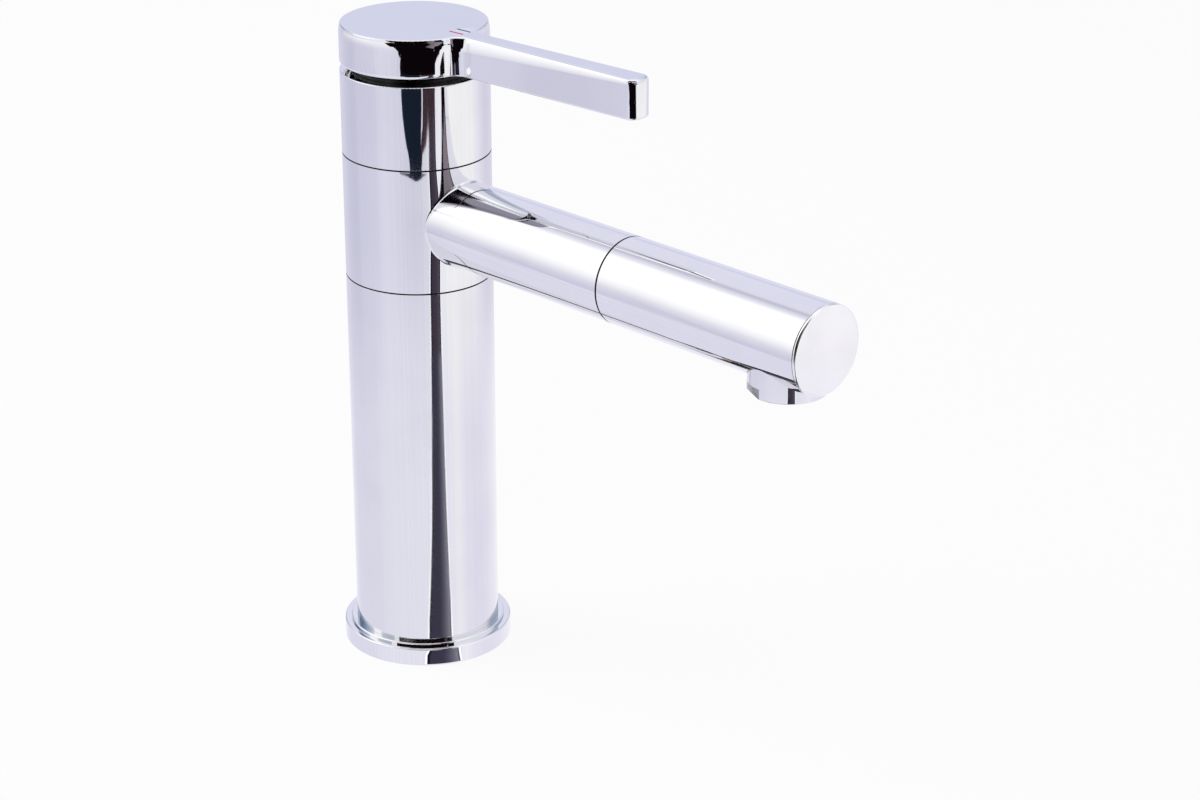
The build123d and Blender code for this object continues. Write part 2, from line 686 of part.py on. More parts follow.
# Stem carrier: plastic drum in the cartridge, its two cheeks turn the disc driver with the lever
with BuildPart() as stem_carrier:
    rod(lever_plan.offset(flange_bottom), carrier_radius, carrier_flange_height)
    rod(lever_plan.offset(flange_bottom), carrier_neck_radius, bracket_bottom - flange_bottom)
    with BuildSketch(lever_plan.offset(driver_bottom + slip)):
        Circle(carrier_radius)
        Rectangle(2 * cartridge_radius, driver_width + 2 * slip, mode=Mode.SUBTRACT)
    extrude(amount=flange_bottom - driver_bottom - slip)
    with BuildSketch(lever_plan.offset(flange_bottom)):
        with Locations((-slot_back, 0)):
            Rectangle(slot_back + slot_front, arm_width + 2 * clear, align=(Align.MIN, Align.CENTER))
    extrude(amount=bracket_bottom - flange_bottom, mode=Mode.SUBTRACT)
    rod(
        lever_plan.offset(bracket_bottom),
        bracket_screw_radius,
        -bracket_screw_depth,
        Mode.SUBTRACT,
        bracket_screw_places,
    )
stem_carrier.part.label = "stem_carrier"

# Pivot bracket: steel fork screwed on the carrier, its two ears hold the lever's pin behind the axis
ear_inner = block_width / 2 + clear
ear_outer = ear_inner + ear_thickness
with BuildPart() as pivot_bracket:
    with BuildSketch(lever_plan.offset(bracket_bottom)):
        Circle(carrier_neck_radius)
        Rectangle(pin_reach + ear_radius, 2 * ear_outer, align=(Align.MAX, Align.CENTER))
        with Locations((slot_front, 0)):
            Rectangle(column_radius, 2 * ear_inner, align=(Align.MAX, Align.CENTER), mode=Mode.SUBTRACT)
    extrude(amount=bracket_thickness)
    for side in (1, -1):
        with BuildSketch(lever_side.offset(side * ear_inner)):
            with Locations((-pin_reach, pin_z)):
                Circle(ear_radius)
                Rectangle(2 * ear_radius, pin_z - bracket_bottom, align=(Align.CENTER, Align.MAX))
        extrude(amount=side * ear_thickness)
    with BuildSketch(lever_side):
        with Locations((-pin_reach, pin_z)):
            Circle(pin_radius)
    extrude(amount=ear_outer, both=True, mode=Mode.SUBTRACT)
    rod(
        lever_plan.offset(bracket_bottom),
        bracket_screw_radius,
        bracket_thickness,
        Mode.SUBTRACT,
        bracket_screw_places,
    )
pivot_bracket.part.label = "pivot_bracket"

# Bracket screws: two cap screws through the bracket into the carrier
with BuildPart() as bracket_screws:
    rod(
        lever_plan.offset(bracket_bottom - bracket_screw_depth),
        bracket_screw_radius,
        bracket_screw_depth + bracket_thickness,
        places=bracket_screw_places,
    )
    rod(
        lever_plan.offset(bracket_top),
        bracket_head_radius,
        bracket_head_height,
        places=bracket_screw_places,
    )
    key_socket(
        lever_plan.offset(bracket_top + bracket_head_height),
        bracket_head_radius,
        -bracket_head_height / 2,
        bracket_screw_places,
    )
bracket_screws.part.label = "bracket_screws"

# Pivot pin: steel pin across the ears, the lever swings on it
with BuildPart() as pivot_pin:
    with BuildSketch(lever_side):
        with Locations((-pin_reach, pin_z)):
            Circle(pin_radius)
    extrude(amount=ear_outer, both=True)
pivot_pin.part.label = "pivot_pin"

# Disc driver: plastic slide between the carrier's cheeks, with a pocket for the arm's tip
with BuildPart() as disc_driver:
    with BuildSketch(lever_plan.offset(driver_bottom)):
        with Locations((-disc_offset, 0)):
            Circle(moving_disc_radius)
            Rectangle(2 * moving_disc_radius, driver_width, mode=Mode.INTERSECT)
    extrude(amount=driver_height)
    with BuildSketch(lever_plan.offset(pocket_bottom)):
        with Locations((-arm_reach, 0)):
            Rectangle(2 * (arm_tip_radius + clear), arm_width + 2 * clear)
    extrude(amount=driver_height, mode=Mode.SUBTRACT)
    rod(lever_plan.offset(driver_bottom), driver_peg_radius, -driver_peg_length, places=driver_pegs)
disc_driver.part.label = "disc_driver"

# Moving disc: ceramic plate under the driver, its hollow joins the inlets to the outlet
with BuildPart() as moving_disc:
    rod(
        lever_plan.offset(moving_disc_bottom),
        moving_disc_radius,
        moving_disc_height,
        places=[(-disc_offset, 0)],
    )
    rod(lever_plan.offset(driver_bottom), driver_peg_radius, -driver_peg_length, Mode.SUBTRACT, driver_pegs)
    with BuildSketch(lever_plan.offset(moving_disc_bottom)):
        with Locations((-chamber_offset, 0)):
            SlotOverall(chamber_length, chamber_width, rotation=90)
    extrude(amount=chamber_depth, mode=Mode.SUBTRACT)
moving_disc.part.label = "moving_disc"

# Handle: one chromed brass casting, the hollow hub and its flat lever
pocket_half = block_width / 2
grub_line = lever_line.offset(-column_radius)
grub_z = (pin_z + hub_ceiling) / 2
with BuildPart() as handle:
    with BuildSketch(lever_plan.offset(hub_bottom)) as handle_outline:
        Circle(column_radius)
        Rectangle(lever_length, lever_width, align=(Align.MIN, Align.CENTER))
        fillet(handle_outline.vertices().group_by(Axis.X)[-1], lever_tip_radius)
        fillet(handle_outline.vertices().group_by(Axis.X)[0], lever_root_radius)
    extrude(amount=hub_height)
    fillet(handle.edges().group_by(Axis.Z)[-1] + handle.edges().group_by(Axis.Z)[0], edge_radius)
    rod(lever_plan.offset(hub_bottom), hub_inner, hub_ceiling - hub_bottom, Mode.SUBTRACT)
    with BuildSketch(lever_plan.offset(hub_ceiling)):
        with Locations((block_front + pocket_wall, 0)):
            Rectangle(
                block_front + pocket_wall + pocket_back,
                block_width + 2 * pocket_wall,
                align=(Align.MAX, Align.CENTER),
            )
        with Locations((block_front, 0)):
            Rectangle(column_radius, block_width, align=(Align.MAX, Align.CENTER), mode=Mode.SUBTRACT)
        with Locations((-hub_inner + grub_boss_depth, 0)):
            Rectangle(grub_boss_depth + hub_wall / 2, grub_boss_width, align=(Align.MAX, Align.CENTER))
    extrude(amount=-pocket_height)
    rod(grub_line, grub_screw_radius, hub_wall + grub_boss_depth, Mode.SUBTRACT, [(0, grub_z)])
    for side in (1, -1):
        with BuildSketch(lever_plan.offset(hub_top)):
            with Locations((mark_reach, side * mark_spacing / 2)):
                SlotOverall(mark_length, mark_width)
        extrude(amount=-mark_depth, mode=Mode.SUBTRACT)
handle.part.label = "handle"

# Pivot block: steel lever on the pin, its head fills the handle's pocket and its arm reaches the driver
with BuildPart() as pivot_block:
    with BuildSketch(lever_side):
        with Locations((-pin_reach, pin_z)):
            Circle(ear_radius)
            Rectangle(pin_reach + block_front, hub_ceiling - pin_z, align=(Align.MIN, Align.MIN))
            Rectangle(ear_radius, hub_ceiling - pin_z, align=(Align.MAX, Align.MIN))
    extrude(amount=block_width / 2, both=True)
    with BuildSketch(lever_side):
        with Locations((-arm_reach, arm_tip_z)):
            Circle(arm_tip_radius)
            Rectangle(arm_thickness, pin_z - arm_tip_z, align=(Align.CENTER, Align.MIN))
    extrude(amount=arm_width / 2, both=True)
    with BuildSketch(lever_side):
        with Locations((-pin_reach, pin_z)):
            Circle(pin_radius + running)
    extrude(amount=block_width, both=True, mode=Mode.SUBTRACT)
pivot_block.part.label = "pivot_block"

# Handle grub screw: set in the hub's back, it presses on the pivot block's heel
with BuildPart() as handle_grub_screw:
    rod(
        grub_line.offset(screw_recess),
        grub_screw_radius,
        column_radius - pin_reach - ear_radius - screw_recess,
        places=[(0, grub_z)],
    )
    key_socket(grub_line.offset(screw_recess), grub_screw_radius, grub_screw_radius, [(0, grub_z)])
handle_grub_screw.part.label = "handle_grub_screw"

# Temperature marks: two short coloured bars set in the hub's top, hot on the left of the lever's line
with BuildPart() as hot_mark:
    with BuildSketch(lever_plan.offset(hub_top)):
        with Locations((mark_reach, -mark_spacing / 2)):
            SlotOverall(mark_length, mark_width)
    extrude(amount=-mark_depth)
hot_mark.part.label = "hot_mark"

with BuildPart() as cold_mark:
    with BuildSketch(lever_plan.offset(hub_top)):
        with Locations((mark_reach, mark_spacing / 2)):
            SlotOverall(mark_length, mark_width)
    extrude(amount=-mark_depth)
cold_mark.part.label = "cold_mark"

fixed_pieces = [
    base_flange,
    base_seal,
    body_column,
    mounting_shank,
    inlet_block,
    inlet_block_screws,
    hot_pipe,
    cold_pipe,
    mixed_pipe,
    core_tube,
    lower_bearing,
    upper_bearing,
    valve_body,
    upper_sleeve,
    cartridge_base,
    cartridge_seals,
    fixed_disc,
    cartridge_housing,
    cartridge_nut,
]
clamp_pieces = [deck_gasket, clamp_washer, shank_nut]
spout_pieces = [spout_body, hose_guide, swivel_stop_screw]
spray_pieces = [
    docking_spigot,
    docking_ring,
    check_valve,
    head_core,
    head_shell,
    head_end_cap,
    aerator_housing,
    aerator_insert,
    aerator_seal,
]
lever_pieces = [
    stem_carrier,
    pivot_bracket,
    bracket_screws,
    pivot_pin,
    disc_driver,
    moving_disc,
    handle,
    pivot_block,
    handle_grub_screw,
    hot_mark,
    cold_mark,
]

os.makedirs("parts", exist_ok=True)
for piece in fixed_pieces + clamp_pieces + spout_pieces + spray_pieces + lever_pieces:
    export_step(piece.part, f"parts/{piece.part.label}.step")
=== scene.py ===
import json
from math import cos, degrees, pi, radians, sin, sqrt, tan

import bmesh
import bpy
from mathutils import Matrix, Vector

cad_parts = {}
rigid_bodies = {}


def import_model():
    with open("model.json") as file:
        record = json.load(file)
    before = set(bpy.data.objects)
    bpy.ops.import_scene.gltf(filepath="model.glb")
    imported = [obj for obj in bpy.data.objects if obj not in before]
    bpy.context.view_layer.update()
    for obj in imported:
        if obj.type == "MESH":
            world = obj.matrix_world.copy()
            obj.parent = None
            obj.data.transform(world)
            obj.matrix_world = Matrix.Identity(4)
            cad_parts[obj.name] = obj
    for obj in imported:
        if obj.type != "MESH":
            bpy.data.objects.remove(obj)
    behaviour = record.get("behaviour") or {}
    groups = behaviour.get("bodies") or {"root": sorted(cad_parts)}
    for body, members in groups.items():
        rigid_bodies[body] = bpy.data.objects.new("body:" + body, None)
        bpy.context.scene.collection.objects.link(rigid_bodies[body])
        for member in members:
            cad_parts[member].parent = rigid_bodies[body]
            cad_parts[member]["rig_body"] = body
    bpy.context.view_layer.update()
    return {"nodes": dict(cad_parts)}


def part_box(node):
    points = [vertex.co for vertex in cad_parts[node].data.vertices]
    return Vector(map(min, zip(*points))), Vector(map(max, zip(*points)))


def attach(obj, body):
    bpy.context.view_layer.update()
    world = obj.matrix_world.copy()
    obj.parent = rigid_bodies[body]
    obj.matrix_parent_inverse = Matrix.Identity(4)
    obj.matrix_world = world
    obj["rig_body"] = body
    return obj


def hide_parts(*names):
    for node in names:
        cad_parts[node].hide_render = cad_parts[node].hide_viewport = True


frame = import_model()


# Base flange: a thin turned ring of brass that hides the edge of the deck's hole, with a groove for its seal.
# Its top is turned in two flat steps round the column's foot. It is polished and chrome plated all over.
mm = 0.001
flange_bore = 17.3
flange_radius = 29.3
seal_inner = 22.5
seal_outer = 26.5
seal_depth = 2.5
step_foot = 25.02
step_radius = 27.0
step_top = 7.2
ledge_height = 6.15
flange_floor = 5.0
ledge_edge = 0.45
step_edge = 0.35
flange_steps = 240
# How far the painted seam shade reaches past each gap, and the width of its soft edge, in millimetres.
column_seam_edge = 0.11
spout_seam_edge = 0.21
seam_shade_fade = 0.04


def node_in(tree, kind, inputs=None, **settings):
    """Adds a node to a material or the studio; inputs gives its sockets numbers, colours or other sockets."""
    made = tree.nodes.new(kind)
    for name, value in settings.items():
        setattr(made, name, value)
    for socket, value in (inputs or {}).items():
        if isinstance(value, bpy.types.NodeSocket):
            tree.links.new(value, made.inputs[socket])
        else:
            made.inputs[socket].default_value = value
    return made


def new_finish(name, colour, metallic, roughness, **uniform):
    """An empty finish: the material, its node tree, its surface shader and the piece's own coordinates."""
    finish = bpy.data.materials.new(name)
    finish.use_nodes = True
    finish.diffuse_color = (*colour, 1)
    tree = finish.node_tree
    surface = tree.nodes["Principled BSDF"]
    surface.inputs["Base Color"].default_value = (*colour, 1)
    surface.inputs["Metallic"].default_value = metallic
    surface.inputs["Roughness"].default_value = roughness
    for socket, value in uniform.items():
        surface.inputs[socket.replace("_", " ")].default_value = value
    place = node_in(tree, "ShaderNodeTexCoord").outputs["Object"]
    return finish, tree, surface, place


def cloud(tree, place, size, detail=2.0, stretch=(1, 1, 1), seed=0.0):
    """Soft random tone from 0 to 1, its patches about size millimetres across."""
    moved = node_in(
        tree,
        "ShaderNodeMapping",
        {"Vector": place, "Location": (seed, seed, seed), "Scale": stretch},
    ).outputs["Vector"]
    noise = node_in(
        tree,
        "ShaderNodeTexNoise",
        {"Vector": moved, "Scale": 1000.0 / size, "Detail": detail, "Roughness": 0.5},
    )
    return noise.outputs["Fac"]


def spread(tree, value, low, high, to_low, to_high):
    """Maps a tone's range low..high to to_low..to_high, with soft ends."""
    return node_in(
        tree,
        "ShaderNodeMapRange",
        {"Value": value, "From Min": low, "From Max": high, "To Min": to_low, "To Max": to_high},
        interpolation_type="SMOOTHSTEP",
    ).outputs["Result"]


def sums(tree, operation, first, second=0.0):
    """One step of arithmetic on tones or lengths."""
    return node_in(tree, "ShaderNodeMath", {0: first, 1: second}, operation=operation).outputs[0]


def tint(tree, share, first, second):
    """Mixes two colours, or sockets of colour, by a tone."""
    values = [c if isinstance(c, bpy.types.NodeSocket) else (*c, 1) for c in (first, second)]
    mixed = node_in(
        tree, "ShaderNodeMix", {0: share, 6: values[0], 7: values[1]}, data_type="RGBA"
    )
    return mixed.outputs[2]


def relief(tree, surface, heights):
    """Adds fine relief to a surface: each entry is (tone, depth in millimetres)."""
    normal = None
    for height, depth in heights:
        bump = node_in(
            tree, "ShaderNodeBump", {"Height": height, "Distance": depth * mm, "Strength": 1.0}
        )
        if normal is not None:
            tree.links.new(normal, bump.inputs["Normal"])
        normal = bump.outputs["Normal"]
    tree.links.new(normal, surface.inputs["Normal"])


def seam_between(before, beyond, axis):
    """The middle and the half width of the fine gap between two nodes along an axis, in metres."""
    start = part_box(before)[1][axis]
    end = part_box(beyond)[0][axis]
    return (start + end) / 2, (end - start) / 2


def chrome_plating():
    """Mirror chrome on polished brass: orange peel, hairlines, smudges, duller edges, and painted shade in
    the seams.
    """
    chrome, tree, surface, place = new_finish("chrome_plating", (0.86, 0.86, 0.87), 1.0, 0.05)
    orange_peel = cloud(tree, place, 14, 1.0)
    smudges = cloud(tree, place, 26, 3.0, seed=3.1)
    hairlines = cloud(tree, place, 2.2, 2.0, stretch=(1, 1, 0.06), seed=1.7)
    edges = node_in(tree, "ShaderNodeNewGeometry").outputs["Pointiness"]
    worn = spread(tree, edges, 0.52, 0.60, 0.0, 1.0)
    wiped = spread(tree, hairlines, 0.60, 0.72, 0.0, 0.03)
    touched = spread(tree, smudges, 0.45, 0.75, 0.022, 0.06)
    dulled = sums(tree, "MULTIPLY", worn, 0.06)
    rough = sums(tree, "ADD", sums(tree, "ADD", wiped, touched), dulled)
    tree.links.new(rough, surface.inputs["Roughness"])
    tone = tint(tree, spread(tree, smudges, 0.4, 0.8, 0, 1), (0.87, 0.87, 0.88), (0.83, 0.83, 0.85))
    colour = tint(tree, sums(tree, "MULTIPLY", worn, 0.25), tone, (0.80, 0.79, 0.78))
    sides = node_in(tree, "ShaderNodeSeparateXYZ", {0: place}).outputs
    # Painted shade: the colour darkens nearly to black along the fine gaps between column, spout, sleeve and
    # head, in place of the shadow inside the gaps.
    seam_shade = 0.0
    for before, beyond, axis, edge in (
        ("body_column", "spout_body", 2, column_seam_edge),
        ("spout_body", "upper_sleeve", 2, column_seam_edge),
        ("spout_body", "head_shell", 0, spout_seam_edge),
    ):
        middle, half = seam_between(before, beyond, axis)
        off = sums(tree, "ABSOLUTE", sums(tree, "SUBTRACT", sides[axis], middle))
        reach, fade = half + edge * mm, seam_shade_fade * mm
        seam_shade = sums(tree, "ADD", seam_shade, spread(tree, off, reach - fade, reach + fade, 1.0, 0.0))
    colour = tint(tree, seam_shade, colour, (0.05, 0.048, 0.05))
    tree.links.new(colour, surface.inputs["Base Color"])
    relief(tree, surface, [(orange_peel, 0.010), (hairlines, 0.0004)])
    return chrome


def rounded(corners, steps=4, support=0.12):
    """A closed outline from (radius, height, rounding) corners, with a point near the ends of long runs."""
    points = []
    count = len(corners)
    for i, (radius, height, rounding) in enumerate(corners):
        here = Vector((radius, height))
        if rounding <= 0:
            points.append(here)
            continue
        back = (Vector(corners[i - 1][:2]) - here).normalized()
        ahead = (Vector(corners[(i + 1) % count][:2]) - here).normalized()
        half = back.angle(ahead) / 2
        reach = rounding / tan(half)
        centre = here + (back + ahead).normalized() * (rounding / sin(half))
        start, end = here + back * reach, here + ahead * reach
        for step in range(steps + 1):
            spoke = (start - centre).lerp(end - centre, step / steps).normalized() * rounding
            points.append(centre + spoke)
    dense = []
    for i, here in enumerate(points):
        ahead = points[(i + 1) % len(points)]
        dense.append(here)
        run = ahead - here
        if run.length > 5 * support:
            dense.append(here + run.normalized() * support)
            dense.append(ahead - run.normalized() * support)
    return dense


def level_ring(shape, radius, height, segments):
    """A level ring of points round the upright axis; radius is in millimetres or a function of the angle."""
    ring = []
    for step in range(segments):
        angle = 2 * pi * step / segments
        reach = (radius(angle) if callable(radius) else radius) * mm
        ring.append(shape.verts.new((reach * cos(angle), reach * sin(angle), height * mm)))
    return ring


def joined_rings(shape, rings):
    """Skins rings of points, each joined to the next and the last to the first."""
    for lower, upper in zip(rings, rings[1:] + rings[:1]):
        for i in range(len(lower)):
            j = (i + 1) % len(lower)
            shape.faces.new((lower[i], lower[j], upper[j], upper[i]))


def turned(outline, segments=160, line=None):
    """Turns an outline of radii and heights in millimetres round the upright axis, or round a line."""
    shape = bmesh.new()
    joined_rings(shape, [level_ring(shape, radius, height, segments) for radius, height in outline])
    if line is not None:
        shape.transform(line)
    return shape


def smooth_piece(name, shape, sharp=32):
    """Makes a mesh object of a bmesh, smooth but for edges over sharp degrees."""
    bmesh.ops.recalc_face_normals(shape, faces=shape.faces)
    mesh = bpy.data.meshes.new(name)
    shape.to_mesh(mesh)
    shape.free()
    for face in mesh.polygons:
        face.use_smooth = True
    mesh.set_sharp_from_angle(angle=radians(sharp))
    piece = bpy.data.objects.new(name, mesh)
    bpy.context.scene.collection.objects.link(piece)
    return piece


def stands_for(piece, node, finish):
    """The piece rides where its CAD node rides, stands for it and has its finish."""
    solid = frame["nodes"][node]
    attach(piece, solid["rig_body"])
    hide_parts(node)
    piece.data.materials.append(finish)
    return piece


chrome = chrome_plating()
flange = rounded(
    [(flange_bore, 0, 0), (seal_inner, 0, 0), (seal_inner, seal_depth, 0), (seal_outer, seal_depth, 0)]
    + [(seal_outer, 0, 0), (flange_radius, 0, 0), (flange_radius, ledge_height, ledge_edge)]
    + [(step_radius, ledge_height, 0), (step_radius, step_top, step_edge), (step_foot, step_top, 0)]
    + [(step_foot, flange_floor, 0), (flange_bore, flange_floor, 0)]
)
stands_for(smooth_piece("polished_flange", turned(flange, flange_steps), 40), "base_flange", chrome)


# Base seal: a black rubber ring in the flange's groove, moulded to size.
# It keeps splashed water out of the deck's hole.
def black_rubber():
    """Moulded rubber: a fine grain and patches of pale bloom."""
    rubber, tree, surface, place = new_finish("black_rubber", (0.022, 0.022, 0.024), 0.0, 0.62)
    bloom = cloud(tree, place, 9, 4.0)
    grain = cloud(tree, place, 0.35, 2.0)
    dusty = spread(tree, bloom, 0.45, 0.75, 0, 1)
    colour = tint(tree, dusty, (0.018, 0.018, 0.02), (0.045, 0.045, 0.047))
    tree.links.new(colour, surface.inputs["Base Color"])
    tree.links.new(spread(tree, bloom, 0.3, 0.7, 0.52, 0.72), surface.inputs["Roughness"])
    relief(tree, surface, [(grain, 0.015)])
    return rubber


def wear(finish, *nodes):
    """Gives CAD nodes their finish."""
    for name in nodes:
        piece = frame["nodes"][name]
        piece.data.materials.clear()
        piece.data.materials.append(finish)


rubber = black_rubber()
wear(rubber, "base_seal")


# Body column: a drawn brass tube with a thick floor, polished along its length and chrome plated.
# The shank screws into its floor and clamps it on the flange.
wear(chrome, "body_column")


# Mounting shank: a brass tube with a fine thread rolled along it, that goes down through the deck.
# It is left as machined, and its bore takes the hoses.
shank_radius = 17.0
shank_bore = 15.0
shank_bottom = -60.0
shank_top = 12.0
thread_top = -1.5
thread_pitch = 1.5
thread_depth = 0.9
thread_flank = 1.15
run_out = 0.4
lead_in = 1.0
lead_in_height = 0.6
rows_per_pitch = 6
shank_steps = 72
spout_height = 158.5


def turning_marks(tree, place, axis):
    """The fine rings that a lathe leaves round an axis: Z, or X at the spout's height."""
    parts = node_in(tree, "ShaderNodeSeparateXYZ", {0: place}).outputs
    if axis == "Z":
        across, aside, along = parts[0], parts[1], parts[2]
    else:
        across, aside, along = sums(tree, "SUBTRACT", parts[2], spout_height * mm), parts[1], parts[0]
    squares = [sums(tree, "MULTIPLY", side, side) for side in (across, aside)]
    radius = sums(tree, "SQRT", sums(tree, "ADD", *squares))
    line = node_in(tree, "ShaderNodeCombineXYZ", {0: radius, 2: along}).outputs[0]
    return cloud(tree, line, 0.5, 3.0)


def machined(name, colour, tarnished, roughness, axis="Z"):
    """Bare turned metal: lathe rings, patches of tarnish and a rub of wear on the edges."""
    metal, tree, surface, place = new_finish(name, colour, 1.0, roughness)
    rings = turning_marks(tree, place, axis)
    patches = cloud(tree, place, 7, 4.0, seed=2.3)
    edges = node_in(tree, "ShaderNodeNewGeometry").outputs["Pointiness"]
    bright = spread(tree, edges, 0.52, 0.60, 0.0, 0.5)
    aged = tint(tree, spread(tree, patches, 0.42, 0.72, 0, 1), colour, tarnished)
    lighter = tuple(min(1.0, c * 1.15) for c in colour)
    tree.links.new(tint(tree, bright, aged, lighter), surface.inputs["Base Color"])
    worn = spread(tree, patches, 0.3, 0.7, roughness * 0.8, roughness * 1.35)
    lined = sums(tree, "MULTIPLY", rings, 0.12)
    tree.links.new(sums(tree, "ADD", worn, lined), surface.inputs["Roughness"])
    relief(tree, surface, [(rings, 0.006)])
    return metal


def threaded_tube(outer, bore, bottom, top, thread_end, pitch, depth):
    """A tube with a V thread cut round its outside, fading out at both ends of the cut."""
    shape = bmesh.new()
    rows = int((thread_end - bottom) / pitch * rows_per_pitch)
    heights = [bottom + (thread_end - bottom) * row / rows for row in range(rows + 1)]
    rings = []
    for height in [bottom] + heights + [thread_end + run_out, top]:
        fade = max(0.0, min(1.0, (height - bottom) / pitch, (thread_end - height) / pitch))

        def cut_to(angle):
            phase = (height / pitch - angle / (2 * pi)) % 1.0
            return outer - depth * fade * max(0.0, 1 - abs(2 * phase - 1) * thread_flank)

        rings.append(level_ring(shape, cut_to, height, shank_steps))
    for vert in rings[0]:
        vert.co.xy *= (outer - lead_in) / outer
    for vert in rings[1]:
        vert.co.z += lead_in_height * mm
    rings += [level_ring(shape, bore, height, shank_steps) for height in (top, bottom)]
    joined_rings(shape, rings)
    return shape


brass = machined("turned_brass", (0.72, 0.52, 0.27), (0.50, 0.33, 0.16), 0.24)
shank = threaded_tube(
    shank_radius, shank_bore, shank_bottom, shank_top, thread_top, thread_pitch, thread_depth
)
stands_for(smooth_piece("threaded_shank", shank, 25), "mounting_shank", brass)


# Deck clamp: a rubber gasket, a pressed steel washer and a brass hexagon nut under the deck.
# The nut's corners are turned off on both faces, and it draws the stack up against the deck.
gasket_top = -20.0
gasket_bottom = -25.0
washer_bottom = -27.5
nut_bottom = -40.0
clamp_radius = 27.0
clamp_bore = 17.3
nut_bore = 17.05
nut_across_flats = 46.0
nut_chamfer = 1.6
nut_cone = 1.9
nut_bore_chamfer = 0.8
nut_steps = 180

gasket = rounded(
    [(clamp_bore, gasket_bottom, 0.5), (clamp_radius, gasket_bottom, 0.8), (clamp_radius, gasket_top, 0.8)]
    + [(clamp_bore, gasket_top, 0.5)]
)
stands_for(smooth_piece("rubber_gasket", turned(gasket)), "deck_gasket", rubber)
steel = machined("bright_steel", (0.56, 0.56, 0.57), (0.44, 0.44, 0.45), 0.26)
washer = rounded(
    [(clamp_bore, washer_bottom, 0.3), (clamp_radius, washer_bottom, 0.5), (clamp_radius, gasket_bottom, 0.9)]
    + [(clamp_bore, gasket_bottom, 0.3)]
)
stands_for(smooth_piece("pressed_washer", turned(washer)), "clamp_washer", steel)


def hexagon_nut(across_flats, bore, bottom, top, chamfer):
    """A hexagon nut whose corners are turned off: each ring of points is a hexagon cut by a cone."""
    shape = bmesh.new()
    flat = across_flats / 2
    corner = flat / cos(pi / 6)
    rings = []
    for share, height in (
        (1.0, bottom),
        (0.5, bottom + chamfer / 2),
        (0.0, bottom + chamfer),
        (0.0, top - chamfer),
        (0.5, top - chamfer / 2),
        (1.0, top),
    ):

        def turned_off(angle):
            side = angle % (pi / 3) - pi / 6
            return min(flat / cos(side), corner - share * chamfer * nut_cone)

        rings.append(level_ring(shape, turned_off, height, nut_steps))
    mouth, inset = bore + nut_bore_chamfer, nut_bore_chamfer
    for radius, height in ((mouth, top), (bore, top - inset), (bore, bottom + inset), (mouth, bottom)):
        rings.append(level_ring(shape, radius, height, nut_steps))
    joined_rings(shape, rings)
    return shape


nut = hexagon_nut(nut_across_flats, nut_bore, nut_bottom, washer_bottom, nut_chamfer)
stands_for(smooth_piece("hexagon_nut", nut, 20), "shank_nut", brass)


# Inlet block: a brass disc screwed on the column's floor, with hose threads below and pipe sockets above.
# Two steel cap screws hold it, and three copper pipes are pressed in its sockets.
wear(brass, "inlet_block")
wear(steel, "inlet_block_screws")


def copper_tube():
    """Drawn copper: fine lines along the pipe and stains of heat and handling."""
    copper, tree, surface, place = new_finish("copper_tube", (0.75, 0.40, 0.27), 1.0, 0.28)
    drawn = cloud(tree, place, 1.2, 2.0, stretch=(1, 1, 0.05))
    stain = cloud(tree, place, 11, 4.0, seed=5.0)
    aged = tint(tree, spread(tree, stain, 0.4, 0.7, 0, 1), (0.76, 0.42, 0.28), (0.42, 0.20, 0.13))
    tree.links.new(aged, surface.inputs["Base Color"])
    tree.links.new(spread(tree, stain, 0.3, 0.7, 0.22, 0.42), surface.inputs["Roughness"])
    relief(tree, surface, [(drawn, 0.004)])
    return copper


wear(copper_tube(), "hot_pipe", "cold_pipe", "mixed_pipe")


# Core tube and bearings: a turned brass tube in the column's top, with a window for the hose.
# The white plastic rings on it carry the spout ring, so that it swivels without play.
wear(brass, "core_tube")


def moulded_plastic(name, colour, shade, roughness):
    """Injection-moulded plastic: a spark-eroded grain, faint flow marks and a little light in its depth."""
    plastic, tree, surface, place = new_finish(
        name, colour, 0.0, roughness, Subsurface_Weight=0.12, Subsurface_Scale=0.0015
    )
    flow = cloud(tree, place, 8, 2.0, stretch=(1, 1, 0.4))
    grain = cloud(tree, place, 0.22, 2.0)
    flowed = tint(tree, spread(tree, flow, 0.3, 0.7, 0, 1), colour, shade)
    tree.links.new(flowed, surface.inputs["Base Color"])
    rough = spread(tree, flow, 0.3, 0.7, roughness * 0.85, roughness * 1.2)
    tree.links.new(rough, surface.inputs["Roughness"])
    relief(tree, surface, [(grain, 0.008)])
    return plastic


white_plastic = moulded_plastic("white_plastic", (0.80, 0.80, 0.77), (0.74, 0.74, 0.71), 0.36)
wear(white_plastic, "lower_bearing", "upper_bearing")


# Spout: the swivel ring and the first half of the spout's tube, one brass casting, polished and chromed.
# A plastic liner guides the hose, and a grub screw in the ring's back limits the swivel.
wear(chrome, "spout_body")
wear(white_plastic, "hose_guide")
wear(steel, "swivel_stop_screw")


# Valve body and sleeve: a brass cup on the core tube takes the cartridge.
# A chromed brass sleeve is slipped over it and held by its lip.
wear(brass, "valve_body")
wear(chrome, "upper_sleeve")


# Cartridge: plastic base and housing with two lapped ceramic discs, rubber port rings and a sliding driver.
# The nut over its shoulder shows in the gap under the hub. Its near-black colour is partly painted shade for
# the gap's shadowed inside.
grey_plastic = moulded_plastic("grey_plastic", (0.36, 0.37, 0.38), (0.30, 0.31, 0.32), 0.40)
wear(grey_plastic, "cartridge_base", "cartridge_housing")
wear(rubber, "cartridge_seals")


